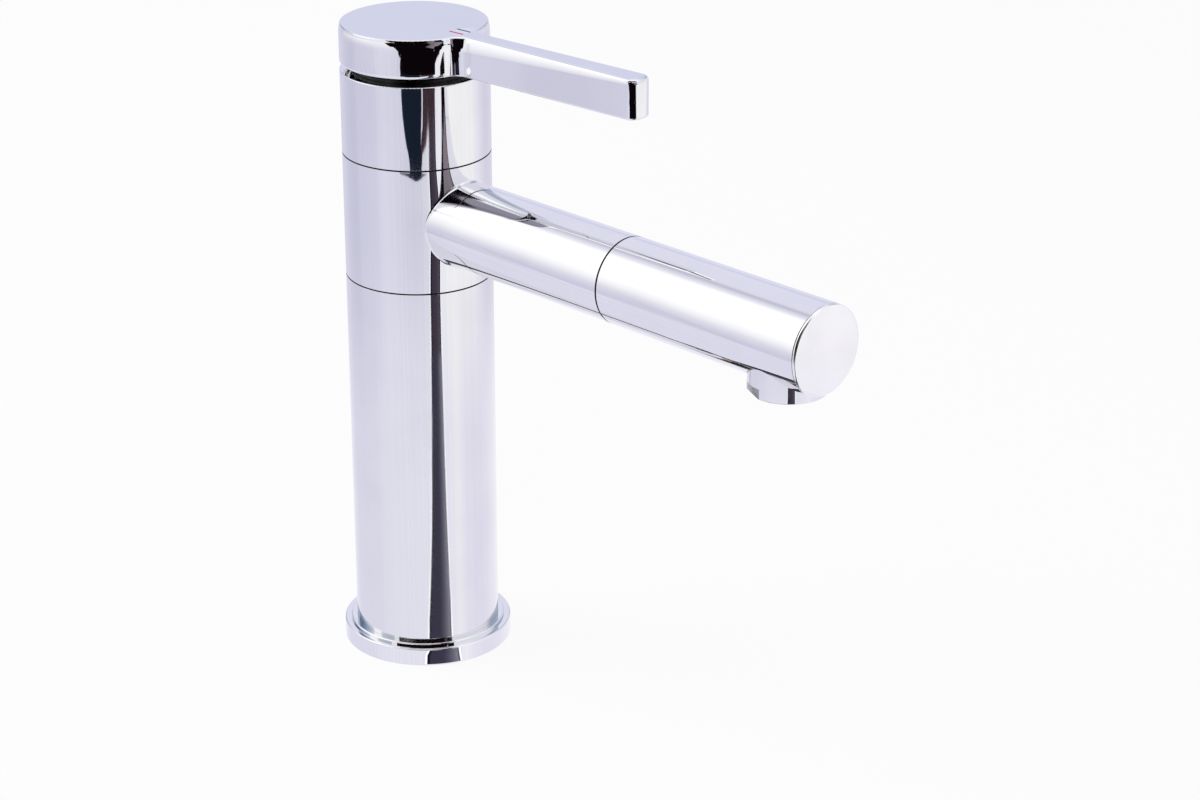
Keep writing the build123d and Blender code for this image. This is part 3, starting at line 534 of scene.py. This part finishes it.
def lapped_ceramic():
    """Sintered ceramic lapped flat: smooth, with a very fine speckle."""
    ceramic, tree, surface, place = new_finish("lapped_ceramic", (0.86, 0.85, 0.82), 0.0, 0.14)
    speckle = cloud(tree, place, 0.3, 3.0)
    tree.links.new(
        tint(tree, spread(tree, speckle, 0.4, 0.7, 0, 1), (0.87, 0.86, 0.83), (0.78, 0.77, 0.74)),
        surface.inputs["Base Color"],
    )
    tree.links.new(spread(tree, speckle, 0.3, 0.7, 0.10, 0.20), surface.inputs["Roughness"])
    relief(tree, surface, [(speckle, 0.001)])
    return ceramic


wear(lapped_ceramic(), "fixed_disc", "moving_disc")
wear(white_plastic, "stem_carrier", "disc_driver")
# Near-black brass, partly painted shade: it keeps the gap under the hub dark.
shade_black = machined("blackened_brass", (0.045, 0.043, 0.042), (0.022, 0.021, 0.021), 0.34)
wear(shade_black, "cartridge_nut")


# Lever linkage: a pressed steel fork on the carrier, two cap screws, a ground pin and the pivot block.
# The lever swings on the pin behind the axis, which needs little room under the hub.
wear(steel, "pivot_bracket", "bracket_screws", "pivot_pin", "pivot_block")


# Handle: a hollow hub and a flat straight lever, one brass casting, polished and chrome plated.
# The polishing wheel has drawn its upper edges in to a soft crown, deep at the lever's root and shallow at
# its tip. Two engraved bars on top are filled with enamel, and a grub screw in its back holds it.
handle_top = 223.3
handle_bottom = 210.0
hub_skin = 24.05
lever_root = 23.7
lever_end = 100.0
root_crown = 4.9
tip_crown = 1.6
hub_crown = 4.5
hub_lean = 0.445
lever_lean = 0.40
first_lean = 0.10
under_crown = 1.9
under_lean = 0.45
crown_rows = 16
cast_edge = 0.8
hub_edge = 0.3
crown_top_share = 0.18
under_rows = 5
under_start = 0.95
under_step = 0.25
blend_length = 4.0
lever_turn = 4.0
lever_way = Matrix.Rotation(-radians(lever_turn), 3, "Z")


def crown_depth(reach, along_lever):
    """How far below the top the crown starts, in millimetres."""
    share = max(0.0, min(1.0, (reach - lever_root) / (lever_end - lever_root)))
    on_lever = root_crown + (tip_crown - root_crown) * share
    return hub_crown + (on_lever - hub_crown) * along_lever


def polished_handle():
    """The cast handle's skin, cut in rows near its edges and drawn in towards them."""
    shape = bmesh.new()
    shape.from_mesh(frame["nodes"]["handle"].data)
    bmesh.ops.remove_doubles(shape, verts=shape.verts, dist=1e-7)

    def on_skin(vert):
        place = lever_way @ vert.co / mm
        return place.xy.length > hub_skin or place.x > hub_skin

    def cut(height, slope, from_reach, to_reach):
        """Cuts the upright skin along a plane, by its height at the lever's root and its fall along it."""
        faces = [
            face
            for face in shape.faces
            if abs(face.normal.z) < 0.3
            and from_reach <= (lever_way @ face.calc_center_median() / mm).x < to_reach
            and all(on_skin(vert) for vert in face.verts)
        ]
        edges = {edge for face in faces for edge in face.edges}
        verts = {vert for face in faces for vert in face.verts}
        normal = lever_way.inverted() @ Vector((-slope, 0, 1))
        point = lever_way.inverted() @ Vector((lever_root * mm, 0, height * mm))
        bmesh.ops.bisect_plane(
            shape, geom=faces + list(edges) + list(verts), dist=1e-8, plane_co=point, plane_no=normal
        )

    fall = (root_crown - tip_crown) / (lever_end - lever_root)
    for row in range(crown_rows):
        share = 1 - (1 - crown_top_share) * row / (crown_rows - 1)
        cut(handle_top - share * hub_crown, 0.0, -hub_skin * 2, lever_root)
        cut(handle_top - share * root_crown, share * fall, lever_root, lever_end + 1)
    for row in range(under_rows):
        cut(handle_bottom + under_start + under_step * row, 0.0, -hub_skin * 2, lever_root)

    shape.normal_update()
    moves = []
    for vert in shape.verts:
        if not on_skin(vert):
            continue
        flat = Vector((vert.normal.x, vert.normal.y, 0))
        if flat.length < 1e-4:
            continue
        place = lever_way @ vert.co / mm
        along_lever = max(0.0, min(1.0, (place.x - lever_root) / blend_length))
        depth = crown_depth(place.x, along_lever)
        share = max(0.0, 1 - (handle_top - place.z) / depth)
        on_hub = hub_lean * depth * share**3 / 3
        on_lever = depth * (first_lean * share + (lever_lean - first_lean) * share**2 / 2)
        under = max(0.0, 1 - (place.z - handle_bottom) / under_crown)
        below = under_lean * under_crown * under**3 / 3 * (1 - along_lever)
        inward = on_hub + (on_lever - on_hub) * along_lever + below
        moves.append((vert, flat.normalized() * inward * mm))
    for vert in shape.verts:
        below = handle_top - vert.co.z / mm
        edge_faces = [face for face in vert.link_faces if 0.05 < face.normal.z < 0.995]
        outward = sum((Vector((face.normal.x, face.normal.y, 0)) for face in edge_faces), Vector())
        if below > cast_edge + 0.01 or outward.length < 1e-3 or not on_skin(vert) and below > 0.01:
            continue
        place = lever_way @ vert.co / mm
        on_hub = max(0.0, min(1.0, (lever_root + blend_length - place.x) / blend_length))
        share = (1 - hub_edge / cast_edge) * on_hub
        drop = min(below, cast_edge) / cast_edge
        inset = cast_edge * (1 - sqrt(max(0.0, 1 - (1 - drop) ** 2)))
        moves.append((vert, (-outward.normalized() * inset - Vector((0, 0, below))) * share * mm))
    for vert, move in moves:
        vert.co -= move
    return shape


mark_reach = 21.0
mark_half_length = 3.0
mark_half_width = 0.48
mark_lines = (
    ("hot_mark", -1.62, (0.62, 0.015, 0.075), (0.50, 0.01, 0.05)),
    ("cold_mark", 1.88, (0.0, 0.10, 0.19), (0.0, 0.07, 0.15)),
)


def enamelled_chrome():
    """The handle's chrome, with the enamel of the two bars wiped a hair over their edges."""
    finish = chrome.copy()
    finish.name = "enamelled_chrome"
    tree = finish.node_tree
    surface = tree.nodes["Principled BSDF"]
    colour = surface.inputs["Base Color"].links[0].from_socket
    rough = surface.inputs["Roughness"].links[0].from_socket
    place = node_in(tree, "ShaderNodeTexCoord").outputs["Object"]
    in_line = {"Vector": place, "Rotation": (0, 0, -radians(lever_turn))}
    in_line = node_in(tree, "ShaderNodeMapping", in_line).outputs["Vector"]
    parts = node_in(tree, "ShaderNodeSeparateXYZ", {0: in_line}).outputs
    on_top = spread(tree, parts[2], (handle_top - 0.3) * mm, (handle_top - 0.2) * mm, 0.0, 1.0)
    along = sums(tree, "ABSOLUTE", sums(tree, "SUBTRACT", parts[0], mark_reach * mm))
    within = spread(tree, along, mark_half_length * mm, (mark_half_length + 0.15) * mm, 1.0, 0.0)
    within = sums(tree, "MULTIPLY", within, on_top)
    metal = 1.0
    for _, offset, tone, _ in mark_lines:
        off = sums(tree, "ABSOLUTE", sums(tree, "SUBTRACT", parts[1], offset * mm))
        inner, outer = (mark_half_width - 0.04) * mm, (mark_half_width + 0.04) * mm
        line = sums(tree, "MULTIPLY", spread(tree, off, inner, outer, 1.0, 0.0), within)
        colour = tint(tree, line, colour, tone)
        rough = sums(tree, "ADD", rough, sums(tree, "MULTIPLY", line, 0.35))
        metal = sums(tree, "SUBTRACT", metal, line)
    tree.links.new(colour, surface.inputs["Base Color"])
    tree.links.new(rough, surface.inputs["Roughness"])
    tree.links.new(metal, surface.inputs["Metallic"])
    surface.inputs["Specular IOR Level"].default_value = 0.25
    return finish


handle = stands_for(smooth_piece("polished_handle", polished_handle(), 28), "handle", enamelled_chrome())
even_shine = handle.modifiers.new("even_shine", "WEIGHTED_NORMAL")
even_shine.keep_sharp = True
wear(steel, "handle_grub_screw")


def filled_enamel(name, colour, deep):
    """Enamel in an engraved bar, deeper in tone where it pooled."""
    enamel, tree, surface, place = new_finish(name, colour, 0.0, 0.4, Specular_IOR_Level=0.25)
    pooled = cloud(tree, place, 0.8, 2.0)
    tone = tint(tree, spread(tree, pooled, 0.35, 0.65, 0, 1), colour, deep)
    tree.links.new(tone, surface.inputs["Base Color"])
    tree.links.new(spread(tree, pooled, 0.3, 0.7, 0.34, 0.48), surface.inputs["Roughness"])
    relief(tree, surface, [(pooled, 0.01)])
    return enamel


for node, _, tone, deep in mark_lines:
    wear(filled_enamel(node.replace("mark", "enamel"), tone, deep), node)


# Spray head tail: a brass spigot with the hose's thread, a check valve in its bore and a rubber ring.
# It slides in the spout's liner and docks the head.
ring_middle = 93.4
ring_half = 0.95
ring_inner = 8.8
ring_outer = 10.05
spout_line = Matrix(((0, 0, 1, 0), (0, 1, 0, 0), (-1, 0, 0, spout_height * mm), (0, 0, 0, 1)))

plated_brass = machined("nickelled_brass", (0.62, 0.58, 0.50), (0.50, 0.46, 0.38), 0.2, "X")
wear(plated_brass, "docking_spigot")
wear(white_plastic, "check_valve")
seal = rounded(
    [(ring_inner, ring_middle - ring_half, 0.55), (ring_outer, ring_middle - ring_half, 0.6)]
    + [(ring_outer, ring_middle + ring_half, 0.6), (ring_inner, ring_middle + ring_half, 0.55)],
    steps=6,
)
stands_for(smooth_piece("rubber_ring", turned(seal, 96, line=spout_line), 60), "docking_ring", rubber)


# Spray head: a dark plastic water way in a chromed brass tube, closed by a flat chromed cap.
# The cap is pressed in and polished flush.
dark_plastic = moulded_plastic("dark_plastic", (0.05, 0.05, 0.055), (0.035, 0.035, 0.04), 0.42)
wear(dark_plastic, "head_core")
wear(chrome, "head_shell")


def satin_chrome():
    """Chrome on a face that was lapped but not buffed: soft reflections and very fine circular lines."""
    satin, tree, surface, place = new_finish("satin_chrome", (0.96, 0.96, 0.95), 1.0, 0.2)
    rings = turning_marks(tree, place, "X")
    haze = cloud(tree, place, 12, 3.0)
    tree.links.new(
        tint(tree, spread(tree, haze, 0.3, 0.7, 0, 1), (0.98, 0.98, 0.96), (0.93, 0.93, 0.92)),
        surface.inputs["Base Color"],
    )
    tree.links.new(spread(tree, haze, 0.3, 0.7, 0.14, 0.24), surface.inputs["Roughness"])
    relief(tree, surface, [(rings, 0.0012)])
    return satin


wear(satin_chrome(), "head_end_cap")


# Aerator: a chromed ring with two spanner flats, screwed in the head's underside.
# Its lip holds a grey plastic insert with rings of jets, and a rubber ring lies on top.
wear(chrome, "aerator_housing")
wear(grey_plastic, "aerator_insert")
wear(rubber, "aerator_seal")


# Studio: the mixer stands on a white sheet in a white room, and a camera on its stand is in front.
# Bright metal mirrors the room: pale lilac walls, a window-sized soft light on the left, blue-grey corners.
sheet_half = 4.0
sheet_white = 0.9

white_sheet = bpy.data.materials.new("white_sheet")
white_sheet.use_nodes = True
sheet = white_sheet.node_tree
sheet.nodes.clear()
seen = node_in(sheet, "ShaderNodeLightPath").outputs["Is Camera Ray"]
paper = node_in(sheet, "ShaderNodeBsdfDiffuse", {"Color": (0.95, 0.95, 0.95, 1)}).outputs[0]
glow = node_in(sheet, "ShaderNodeEmission", {"Color": (1, 1, 1, 1), "Strength": 1.0}).outputs[0]
white = sums(sheet, "MULTIPLY", seen, sheet_white)
lit = node_in(sheet, "ShaderNodeMixShader", {0: white, 1: paper, 2: glow}).outputs[0]
node_in(sheet, "ShaderNodeOutputMaterial", {"Surface": lit})

sheet_mesh = bpy.data.meshes.new("deck_sheet")
sheet_shape = bmesh.new()
bmesh.ops.create_grid(sheet_shape, x_segments=1, y_segments=1, size=sheet_half)
sheet_shape.to_mesh(sheet_mesh)
sheet_shape.free()
sheet_mesh.materials.append(white_sheet)
deck_sheet = bpy.data.objects.new("deck_sheet", sheet_mesh)
bpy.context.scene.collection.objects.link(deck_sheet)
deck_sheet.visible_glossy = False

room = bpy.data.worlds.new("room")
bpy.context.scene.world = room
room.use_nodes = True
air = room.node_tree
air.nodes.clear()
towards = node_in(air, "ShaderNodeTexCoord").outputs["Generated"]
towards = node_in(air, "ShaderNodeSeparateXYZ", {0: towards}).outputs
bearing = sums(air, "ARCTAN2", towards[1], towards[0])
bearing = sums(air, "MULTIPLY", bearing, degrees(1))
rise = sums(air, "MULTIPLY", sums(air, "ARCSINE", towards[2]), degrees(1))


def between(value, low, high, soft):
    """1 inside a band of bearings or heights in degrees and 0 outside, with soft edges."""
    start = spread(air, value, low - soft, low + soft, 0.0, 1.0)
    end = spread(air, value, high - soft, high + soft, 1.0, 0.0)
    return sums(air, "MULTIPLY", start, end)


def wall(stops):
    """The wall's colour by bearing in degrees, from -180 to 180."""
    ramp = node_in(
        air,
        "ShaderNodeValToRGB",
        {0: sums(air, "ADD", sums(air, "MULTIPLY", bearing, 1 / 360), 0.5)},
    )
    ramp.color_ramp.interpolation = "B_SPLINE"
    points = ramp.color_ramp.elements
    while len(points) < len(stops):
        points.new(0.5)
    for point, (angle, colour) in zip(points, sorted(stops)):
        point.position = angle / 360 + 0.5
        point.color = (*colour, 1)
    return ramp.outputs["Color"]


low_wall = wall(
    [
        (-180, (0.80, 0.79, 0.92)),
        (-122, (0.80, 0.79, 0.92)),
        (-105, (0.86, 0.86, 0.97)),
        (-40, (0.86, 0.86, 0.97)),
        (4, (0.90, 0.89, 1.00)),
        (12, (1.00, 0.99, 1.10)),
        (30, (0.86, 0.83, 0.96)),
        (60, (0.85, 0.82, 0.95)),
        (85, (0.91, 0.89, 1.01)),
        (130, (1.00, 1.00, 1.05)),
        (160, (0.86, 0.85, 0.97)),
        (180, (0.80, 0.79, 0.92)),
    ]
)
mid_wall = wall(
    [
        (-180, (0.69, 0.68, 0.83)),
        (-153, (0.60, 0.60, 0.74)),
        (-140, (0.70, 0.69, 0.84)),
        (-108, (0.70, 0.69, 0.83)),
        (-98, (0.80, 0.79, 0.92)),
        (-72, (0.76, 0.75, 0.88)),
        (-45, (0.68, 0.67, 0.80)),
        (-28, (0.76, 0.75, 0.86)),
        (0, (1.0, 1.0, 1.05)),
        (12, (1.1, 1.1, 1.16)),
        (48, (1.08, 1.06, 1.12)),
        (72, (0.82, 0.82, 0.92)),
        (92, (0.72, 0.70, 0.82)),
        (115, (0.78, 0.76, 0.88)),
        (180, (0.69, 0.68, 0.83)),
    ]
)
ceiling = wall(
    [
        (-180, (0.72, 0.72, 0.83)),
        (-174, (0.86, 0.86, 0.95)),
        (-165, (0.94, 0.94, 1.02)),
        (-90, (0.98, 0.98, 1.05)),
        (0, (0.92, 0.92, 1.02)),
        (90, (0.90, 0.90, 1.00)),
        (125, (0.80, 0.80, 0.95)),
        (150, (0.81, 0.81, 0.95)),
        (166, (0.82, 0.82, 0.95)),
        (171, (0.58, 0.58, 0.71)),
        (175, (0.60, 0.60, 0.73)),
        (180, (0.72, 0.72, 0.83)),
    ]
)
walls = tint(air, spread(air, rise, -23.5, -19, 0.0, 1.0), low_wall, mid_wall)
walls = tint(air, spread(air, rise, -18, 6, 0.0, 1.0), walls, ceiling)

# The lower walls are hung with cloth, whose upright folds make faint streaks in the column.
folds = {"W": bearing, "Scale": 0.55, "Detail": 3.0}
folds = node_in(air, "ShaderNodeTexNoise", folds, noise_dimensions="1D").outputs["Fac"]
creased = spread(air, folds, 0.3, 0.7, 0.955, 1.04)
evened = sums(air, "MULTIPLY", sums(air, "SUBTRACT", 1.0, creased), spread(air, rise, -16, -4, 0.0, 1.0))
creased = sums(air, "ADD", creased, evened)
walls = node_in(air, "ShaderNodeVectorMath", {0: walls, 1: creased}, operation="MULTIPLY").outputs[0]

# Soft light: a large white cloth before a window on the far left, and a dimmer one over the mixer.
overhead = spread(air, rise, 58, 74, 0.0, 1.0)
walls = tint(air, overhead, walls, (1.1, 1.1, 1.12))
window = sums(air, "MULTIPLY", between(bearing, -164, -113, 10), spread(air, rise, -6, 30, 0.0, 1.0))
window = sums(air, "MULTIPLY", window, spread(air, rise, 50, 74, 1.0, 0.0))
walls = tint(air, window, walls, (1.34, 1.34, 1.35))

# Patches high on the walls: left, right and soft edge as bearings, low, high and soft edge as rises, tone.
# The first is the lilac ceiling over the hub, the blue-grey ones are the room's corners, and the four others
# show where the spout's root mirrors the column.
corner_tone = (0.36, 0.43, 0.58)
for left, right, side_edge, low, high, rise_edge, tone in (
    (125, 155, 6, 6, 18, 2.5, (0.71, 0.728, 0.90)),
    (152, 172, 4, 12, 30, 7, corner_tone),
    (-100, -14, 6, 37, 56, 4, (0.34, 0.33, 0.40)),
    (-92, -62, 6, 37, 45, 4, (0.22, 0.21, 0.26)),
    (-6, 38, 6, 33, 52, 4, (1.25, 1.28, 1.32)),
    (66, 104, 6, 20, 41, 4, (0.48, 0.53, 0.66)),
    (112, 126, 4, 12, 40, 8, corner_tone),
):
    beside, above = between(bearing, left, right, side_edge), between(rise, low, high, rise_edge)
    walls = tint(air, sums(air, "MULTIPLY", beside, above), walls, tone)

# The black gap behind the sheet's far edge.
gap = sums(air, "MULTIPLY", between(bearing, 162.5, 179, 1), spread(air, rise, -43, -41, 1.0, 0.0))
walls = tint(air, gap, walls, (0.02, 0.02, 0.025))

paths = node_in(air, "ShaderNodeLightPath").outputs
mirrored = sums(air, "MAXIMUM", paths["Is Glossy Ray"], paths["Is Transmission Ray"])
plain = node_in(air, "ShaderNodeBackground", {"Color": (0.97, 0.97, 1.0, 1), "Strength": 0.62}).outputs[0]
lined = node_in(air, "ShaderNodeBackground", {"Color": walls, "Strength": 1.0}).outputs[0]
backdrop = node_in(air, "ShaderNodeBackground", {"Color": (1, 1, 1, 1), "Strength": 1.0}).outputs[0]
by_metal = node_in(air, "ShaderNodeMixShader", {0: mirrored, 1: plain, 2: lined}).outputs[0]
by_camera = {0: paths["Is Camera Ray"], 1: by_metal, 2: backdrop}
by_camera = node_in(air, "ShaderNodeMixShader", by_camera).outputs[0]
node_in(air, "ShaderNodeOutputWorld", {"Surface": by_camera})


# Screens before the mixer, seen only in its chrome: the camera's stand, and dark and grey cloths on rails.
# Each hangs on an upright ring round the column, as rows of its height, its left and its right bearing.
card_ring = 310.0
far_ring = 1500.0
card_steps = 40
floor_lift = 0.4


def row_spot(row, share, ring):
    """A point along a card's row, in millimetres; a row on the floor is its left and its right point."""
    if len(row) == 2:
        left, right = (Vector((*end, floor_lift)) for end in row)
        return left + (right - left) * share
    height, left, right = row
    angle = radians(left + (right - left) * share)
    return Vector((ring * cos(angle), ring * sin(angle), height))


def card_finish(name, tone):
    """A plain glow: one tone, or (share, tone) stops from the card's left edge to its right."""
    cloth = bpy.data.materials.new(name)
    cloth.use_nodes = True
    weave = cloth.node_tree
    weave.nodes.clear()
    stops = tone if isinstance(tone, list) else [(0.0, tone)]
    across = node_in(weave, "ShaderNodeAttribute", attribute_name="across").outputs["Fac"]
    shade = node_in(weave, "ShaderNodeValToRGB", {0: across})
    points = shade.color_ramp.elements
    while len(points) < len(stops):
        points.new(0.5)
    while len(points) > len(stops):
        points.remove(points[-1])
    for point, (share, colour) in zip(points, stops):
        point.position = share
        point.color = (*colour, 1)
    shine = node_in(weave, "ShaderNodeEmission", {"Color": shade.outputs["Color"], "Strength": 1.0})
    node_in(weave, "ShaderNodeOutputMaterial", {"Surface": shine.outputs[0]})
    return cloth


def hung_card(name, tone, rows, ring=card_ring, rim=0.0):
    """A card that only bright metal sees, skinned from row to row; rim widens it at both edges."""
    shape = bmesh.new()
    across = shape.verts.layers.float.new("across")
    lines = []
    for row in rows:
        line = []
        for step in range(card_steps + 1):
            share = step / card_steps
            spot = row_spot(row, (1 + 2 * rim) * share - rim, ring)
            vert = shape.verts.new(spot * mm)
            vert[across] = share
            line.append(vert)
        lines.append(line)
    for lower, upper in zip(lines, lines[1:]):
        for i in range(card_steps):
            shape.faces.new((lower[i], lower[i + 1], upper[i + 1], upper[i]))
    mesh = bpy.data.meshes.new(name)
    shape.to_mesh(mesh)
    shape.free()
    mesh.materials.append(card_finish(name, tone))
    card = bpy.data.objects.new(name, mesh)
    bpy.context.scene.collection.objects.link(card)
    for ray in ("camera", "diffuse", "shadow", "volume_scatter"):
        setattr(card, "visible_" + ray, False)


bright_rim = (1.2, 1.2, 1.25)
shadow = (0.010, 0.007, 0.014)
foot_tone = [
    (0.0, bright_rim),
    (0.055, bright_rim),
    (0.065, shadow),
    (0.115, shadow),
    (0.15, (0.046, 0.042, 0.070)),
    (0.50, (0.050, 0.047, 0.075)),
    (0.62, (0.080, 0.078, 0.11)),
    (0.75, (0.14, 0.138, 0.18)),
    (0.89, (0.24, 0.24, 0.30)),
    (0.915, (0.09, 0.09, 0.12)),
    (0.94, (0.12, 0.12, 0.15)),
    (0.95, bright_rim),
]
stand_foot = [
    ((21.6, -19.8), (27.6, -9.4)),
    ((26.6, -24.3), (32.5, -9.6)),
    ((30.3, -25.7), (36.4, -9.8)),
    ((42.7, -35.2), (51.8, -11.0)),
    ((56.5, -43.8), (67.8, -12.0)),
    ((71.1, -51.9), (84.3, -14.5)),
    ((86.4, -59.8), (101.2, -16.8)),
    ((119.1, -74.7), (136.3, -23.3)),
    ((171.2, -99.1), (192.8, -34.4)),
    ((250.7, -130.7), (276.3, -51.0)),
    ((306, -154), (345, -66)),
]
hung_card("stand_foot", foot_tone, stand_foot, rim=0.06)
stand_tone = [
    (0.0, bright_rim),
    (0.05, bright_rim),
    (0.065, shadow),
    (0.13, shadow),
    (0.20, (0.050, 0.036, 0.056)),
    (0.60, (0.060, 0.046, 0.068)),
    (0.80, (0.088, 0.074, 0.100)),
    (0.88, (0.034, 0.027, 0.040)),
    (0.94, (0.040, 0.032, 0.045)),
    (0.95, bright_rim),
]
stand_rows = [(-4, -26.8, -11.0), (39, -25.7, -10.9), (71, -23.6, -10.8), (88, -24.1, -13.2)]
stand_rows += [(97, -23.2, -13.2), (107, -23.2, -13.0), (128, -23.2, -12.4)]
hung_card("stand", stand_tone, stand_rows, rim=0.06)
blue_rows = [(81, -44, -42), (82, -49, -37), (83, -55, -34), (83.8, -61, -31), (84.45, -68, -27)]
blue_rows += [(84.6, -52, -34.6), (86, -51.5, -34.6), (90, -52.4, -34.4), (93.4, -53.8, -35)]
blue_rows += [(97, -56.3, -35), (104, -59, -34), (111, -61, -33), (120, -62, -32.2), (128.5, -60, -33.6)]
hung_card("blue_cloth", (0.0093, 0.015, 0.028), blue_rows, 309.0)
brown_rows = [(88, -34.4, -33.8), (93.3, -35, -33), (97, -35, -27.6), (102, -33.5, -25.4), (105, -32, -23)]
brown_rows += [(112, -31.4, -13), (121, -30.6, -12.6), (128.5, -32, -12)]
hung_card("brown_cloth", (0.049, 0.027, 0.037), brown_rows, 308.0)
black = (0.0035, 0.0018, 0.003)
black_rows = [(127.4, -48, -30), (128.3, -56, -11.8), (130.4, -63.4, -11), (133, -61.5, -10.3)]
black_rows += [(135, -61.5, -8.8), (137, -65.6, -4.8), (149, -66.4, -4.0), (150, -67, -14.2)]
black_rows += [(171, -68.2, -15), (185, -69, -18.5), (201, -71.3, -21.6), (212, -78.2, -23)]
black_rows += [(227, -81.4, -21), (248, -82.6, -18.8), (269, -84.3, -19), (293, -84.3, -21)]
black_rows += [(319, -83.5, -18.5), (350, -83, -14), (366, -82, -2), (386, -81, 0), (460, -81, 0)]
hung_card("black_cloth", black, black_rows, 307.0)
side_rows = [(149, -13, -4), (162, -13.4, -2.6), (171, -17, -2.5), (180, -15, -2.4), (191, -13, -2.3)]
side_rows += [(204, -13, 1), (213, -10, 4), (220, -8, 3), (226, -5, 0), (256, -2.7, -1.2), (303, -2, 0.6)]
side_rows += [(386, -2, 0.6)]
hung_card("side_cloth", black, side_rows, 306.0)
grey_rows = [(152, -14.4, -12.4), (175, -19, -13), (201, -23, -12), (227, -23, -4), (256, -21, -2)]
grey_rows += [(300, -22, -1), (350, -18, 0)]
grey_tone = [(0.0, (0.13, 0.11, 0.13)), (0.6, (0.27, 0.23, 0.27))]
hung_card("grey_cloth", grey_tone, grey_rows, 308.5)

# Cloths at the back of the room. They show in the flange's steps and as a line along the spout.
back_low = 715
back_high = 810
pale_tone = [
    (0.0, (0.15, 0.20, 0.33)),
    (0.20, (0.16, 0.21, 0.33)),
    (0.32, (0.32, 0.41, 0.56)),
    (0.50, (0.60, 0.66, 0.76)),
    (0.57, (1.14, 1.15, 1.17)),
    (0.70, (1.14, 1.15, 1.17)),
    (0.76, (0.60, 0.65, 0.74)),
    (0.90, (0.53, 0.58, 0.68)),
]
pale_side_tone = [(0.0, (0.95, 0.98, 1.0)), (0.4, (0.40, 0.48, 0.60))]
for name, tone, left, right, ring in (
    ("far_cloth", black, -89.5, -27, far_ring - 1),
    ("pale_cloth", pale_tone, -190, -98, far_ring),
    ("pale_side_cloth", pale_side_tone, 64, 110, far_ring),
):
    hung_card(name, tone, [(back_low, left, right), (back_high, left, right)], ring)


# Lamps and camera: two soft square lamps before the mixer, and a long lens at the photograph's angle.
# Bright metal mirrors the room instead of the lamps.
lit_place = Vector((0.04, 0, 0.1))
for name, place, size, power in (
    ("window_light", (-0.95, -0.65, 1.05), 0.9, 7.0),
    ("fill_light", (0.9, -0.9, 0.9), 0.9, 3.0),
):
    lamp = bpy.data.lights.new(name, "AREA")
    lamp.size = size
    lamp.energy = power
    lamp_object = bpy.data.objects.new(name, lamp)
    bpy.context.scene.collection.objects.link(lamp_object)
    lamp_object.location = place
    lamp_object.rotation_mode = "QUATERNION"
    lamp_object.rotation_quaternion = (lit_place - Vector(place)).to_track_quat("-Z", "Y")
    lamp_object.visible_glossy = False

lens = 91.97
camera_place = Vector((0.74267, -0.64142, 0.49560))
camera_way = Vector((-0.65966, 0.64588, -0.38430))
camera_data = bpy.data.cameras.new("camera")
camera_data.sensor_width = 36.0
camera_data.sensor_fit = "HORIZONTAL"
camera_data.lens = lens
camera_data.clip_start = 0.05
camera_data.clip_end = 50.0
camera = bpy.data.objects.new("camera", camera_data)
bpy.context.scene.collection.objects.link(camera)
camera.location = camera_place
camera.rotation_mode = "QUATERNION"
camera.rotation_quaternion = camera_way.to_track_quat("-Z", "Y")
bpy.context.scene.camera = camera
bpy.context.scene.view_settings.view_transform = "Standard"
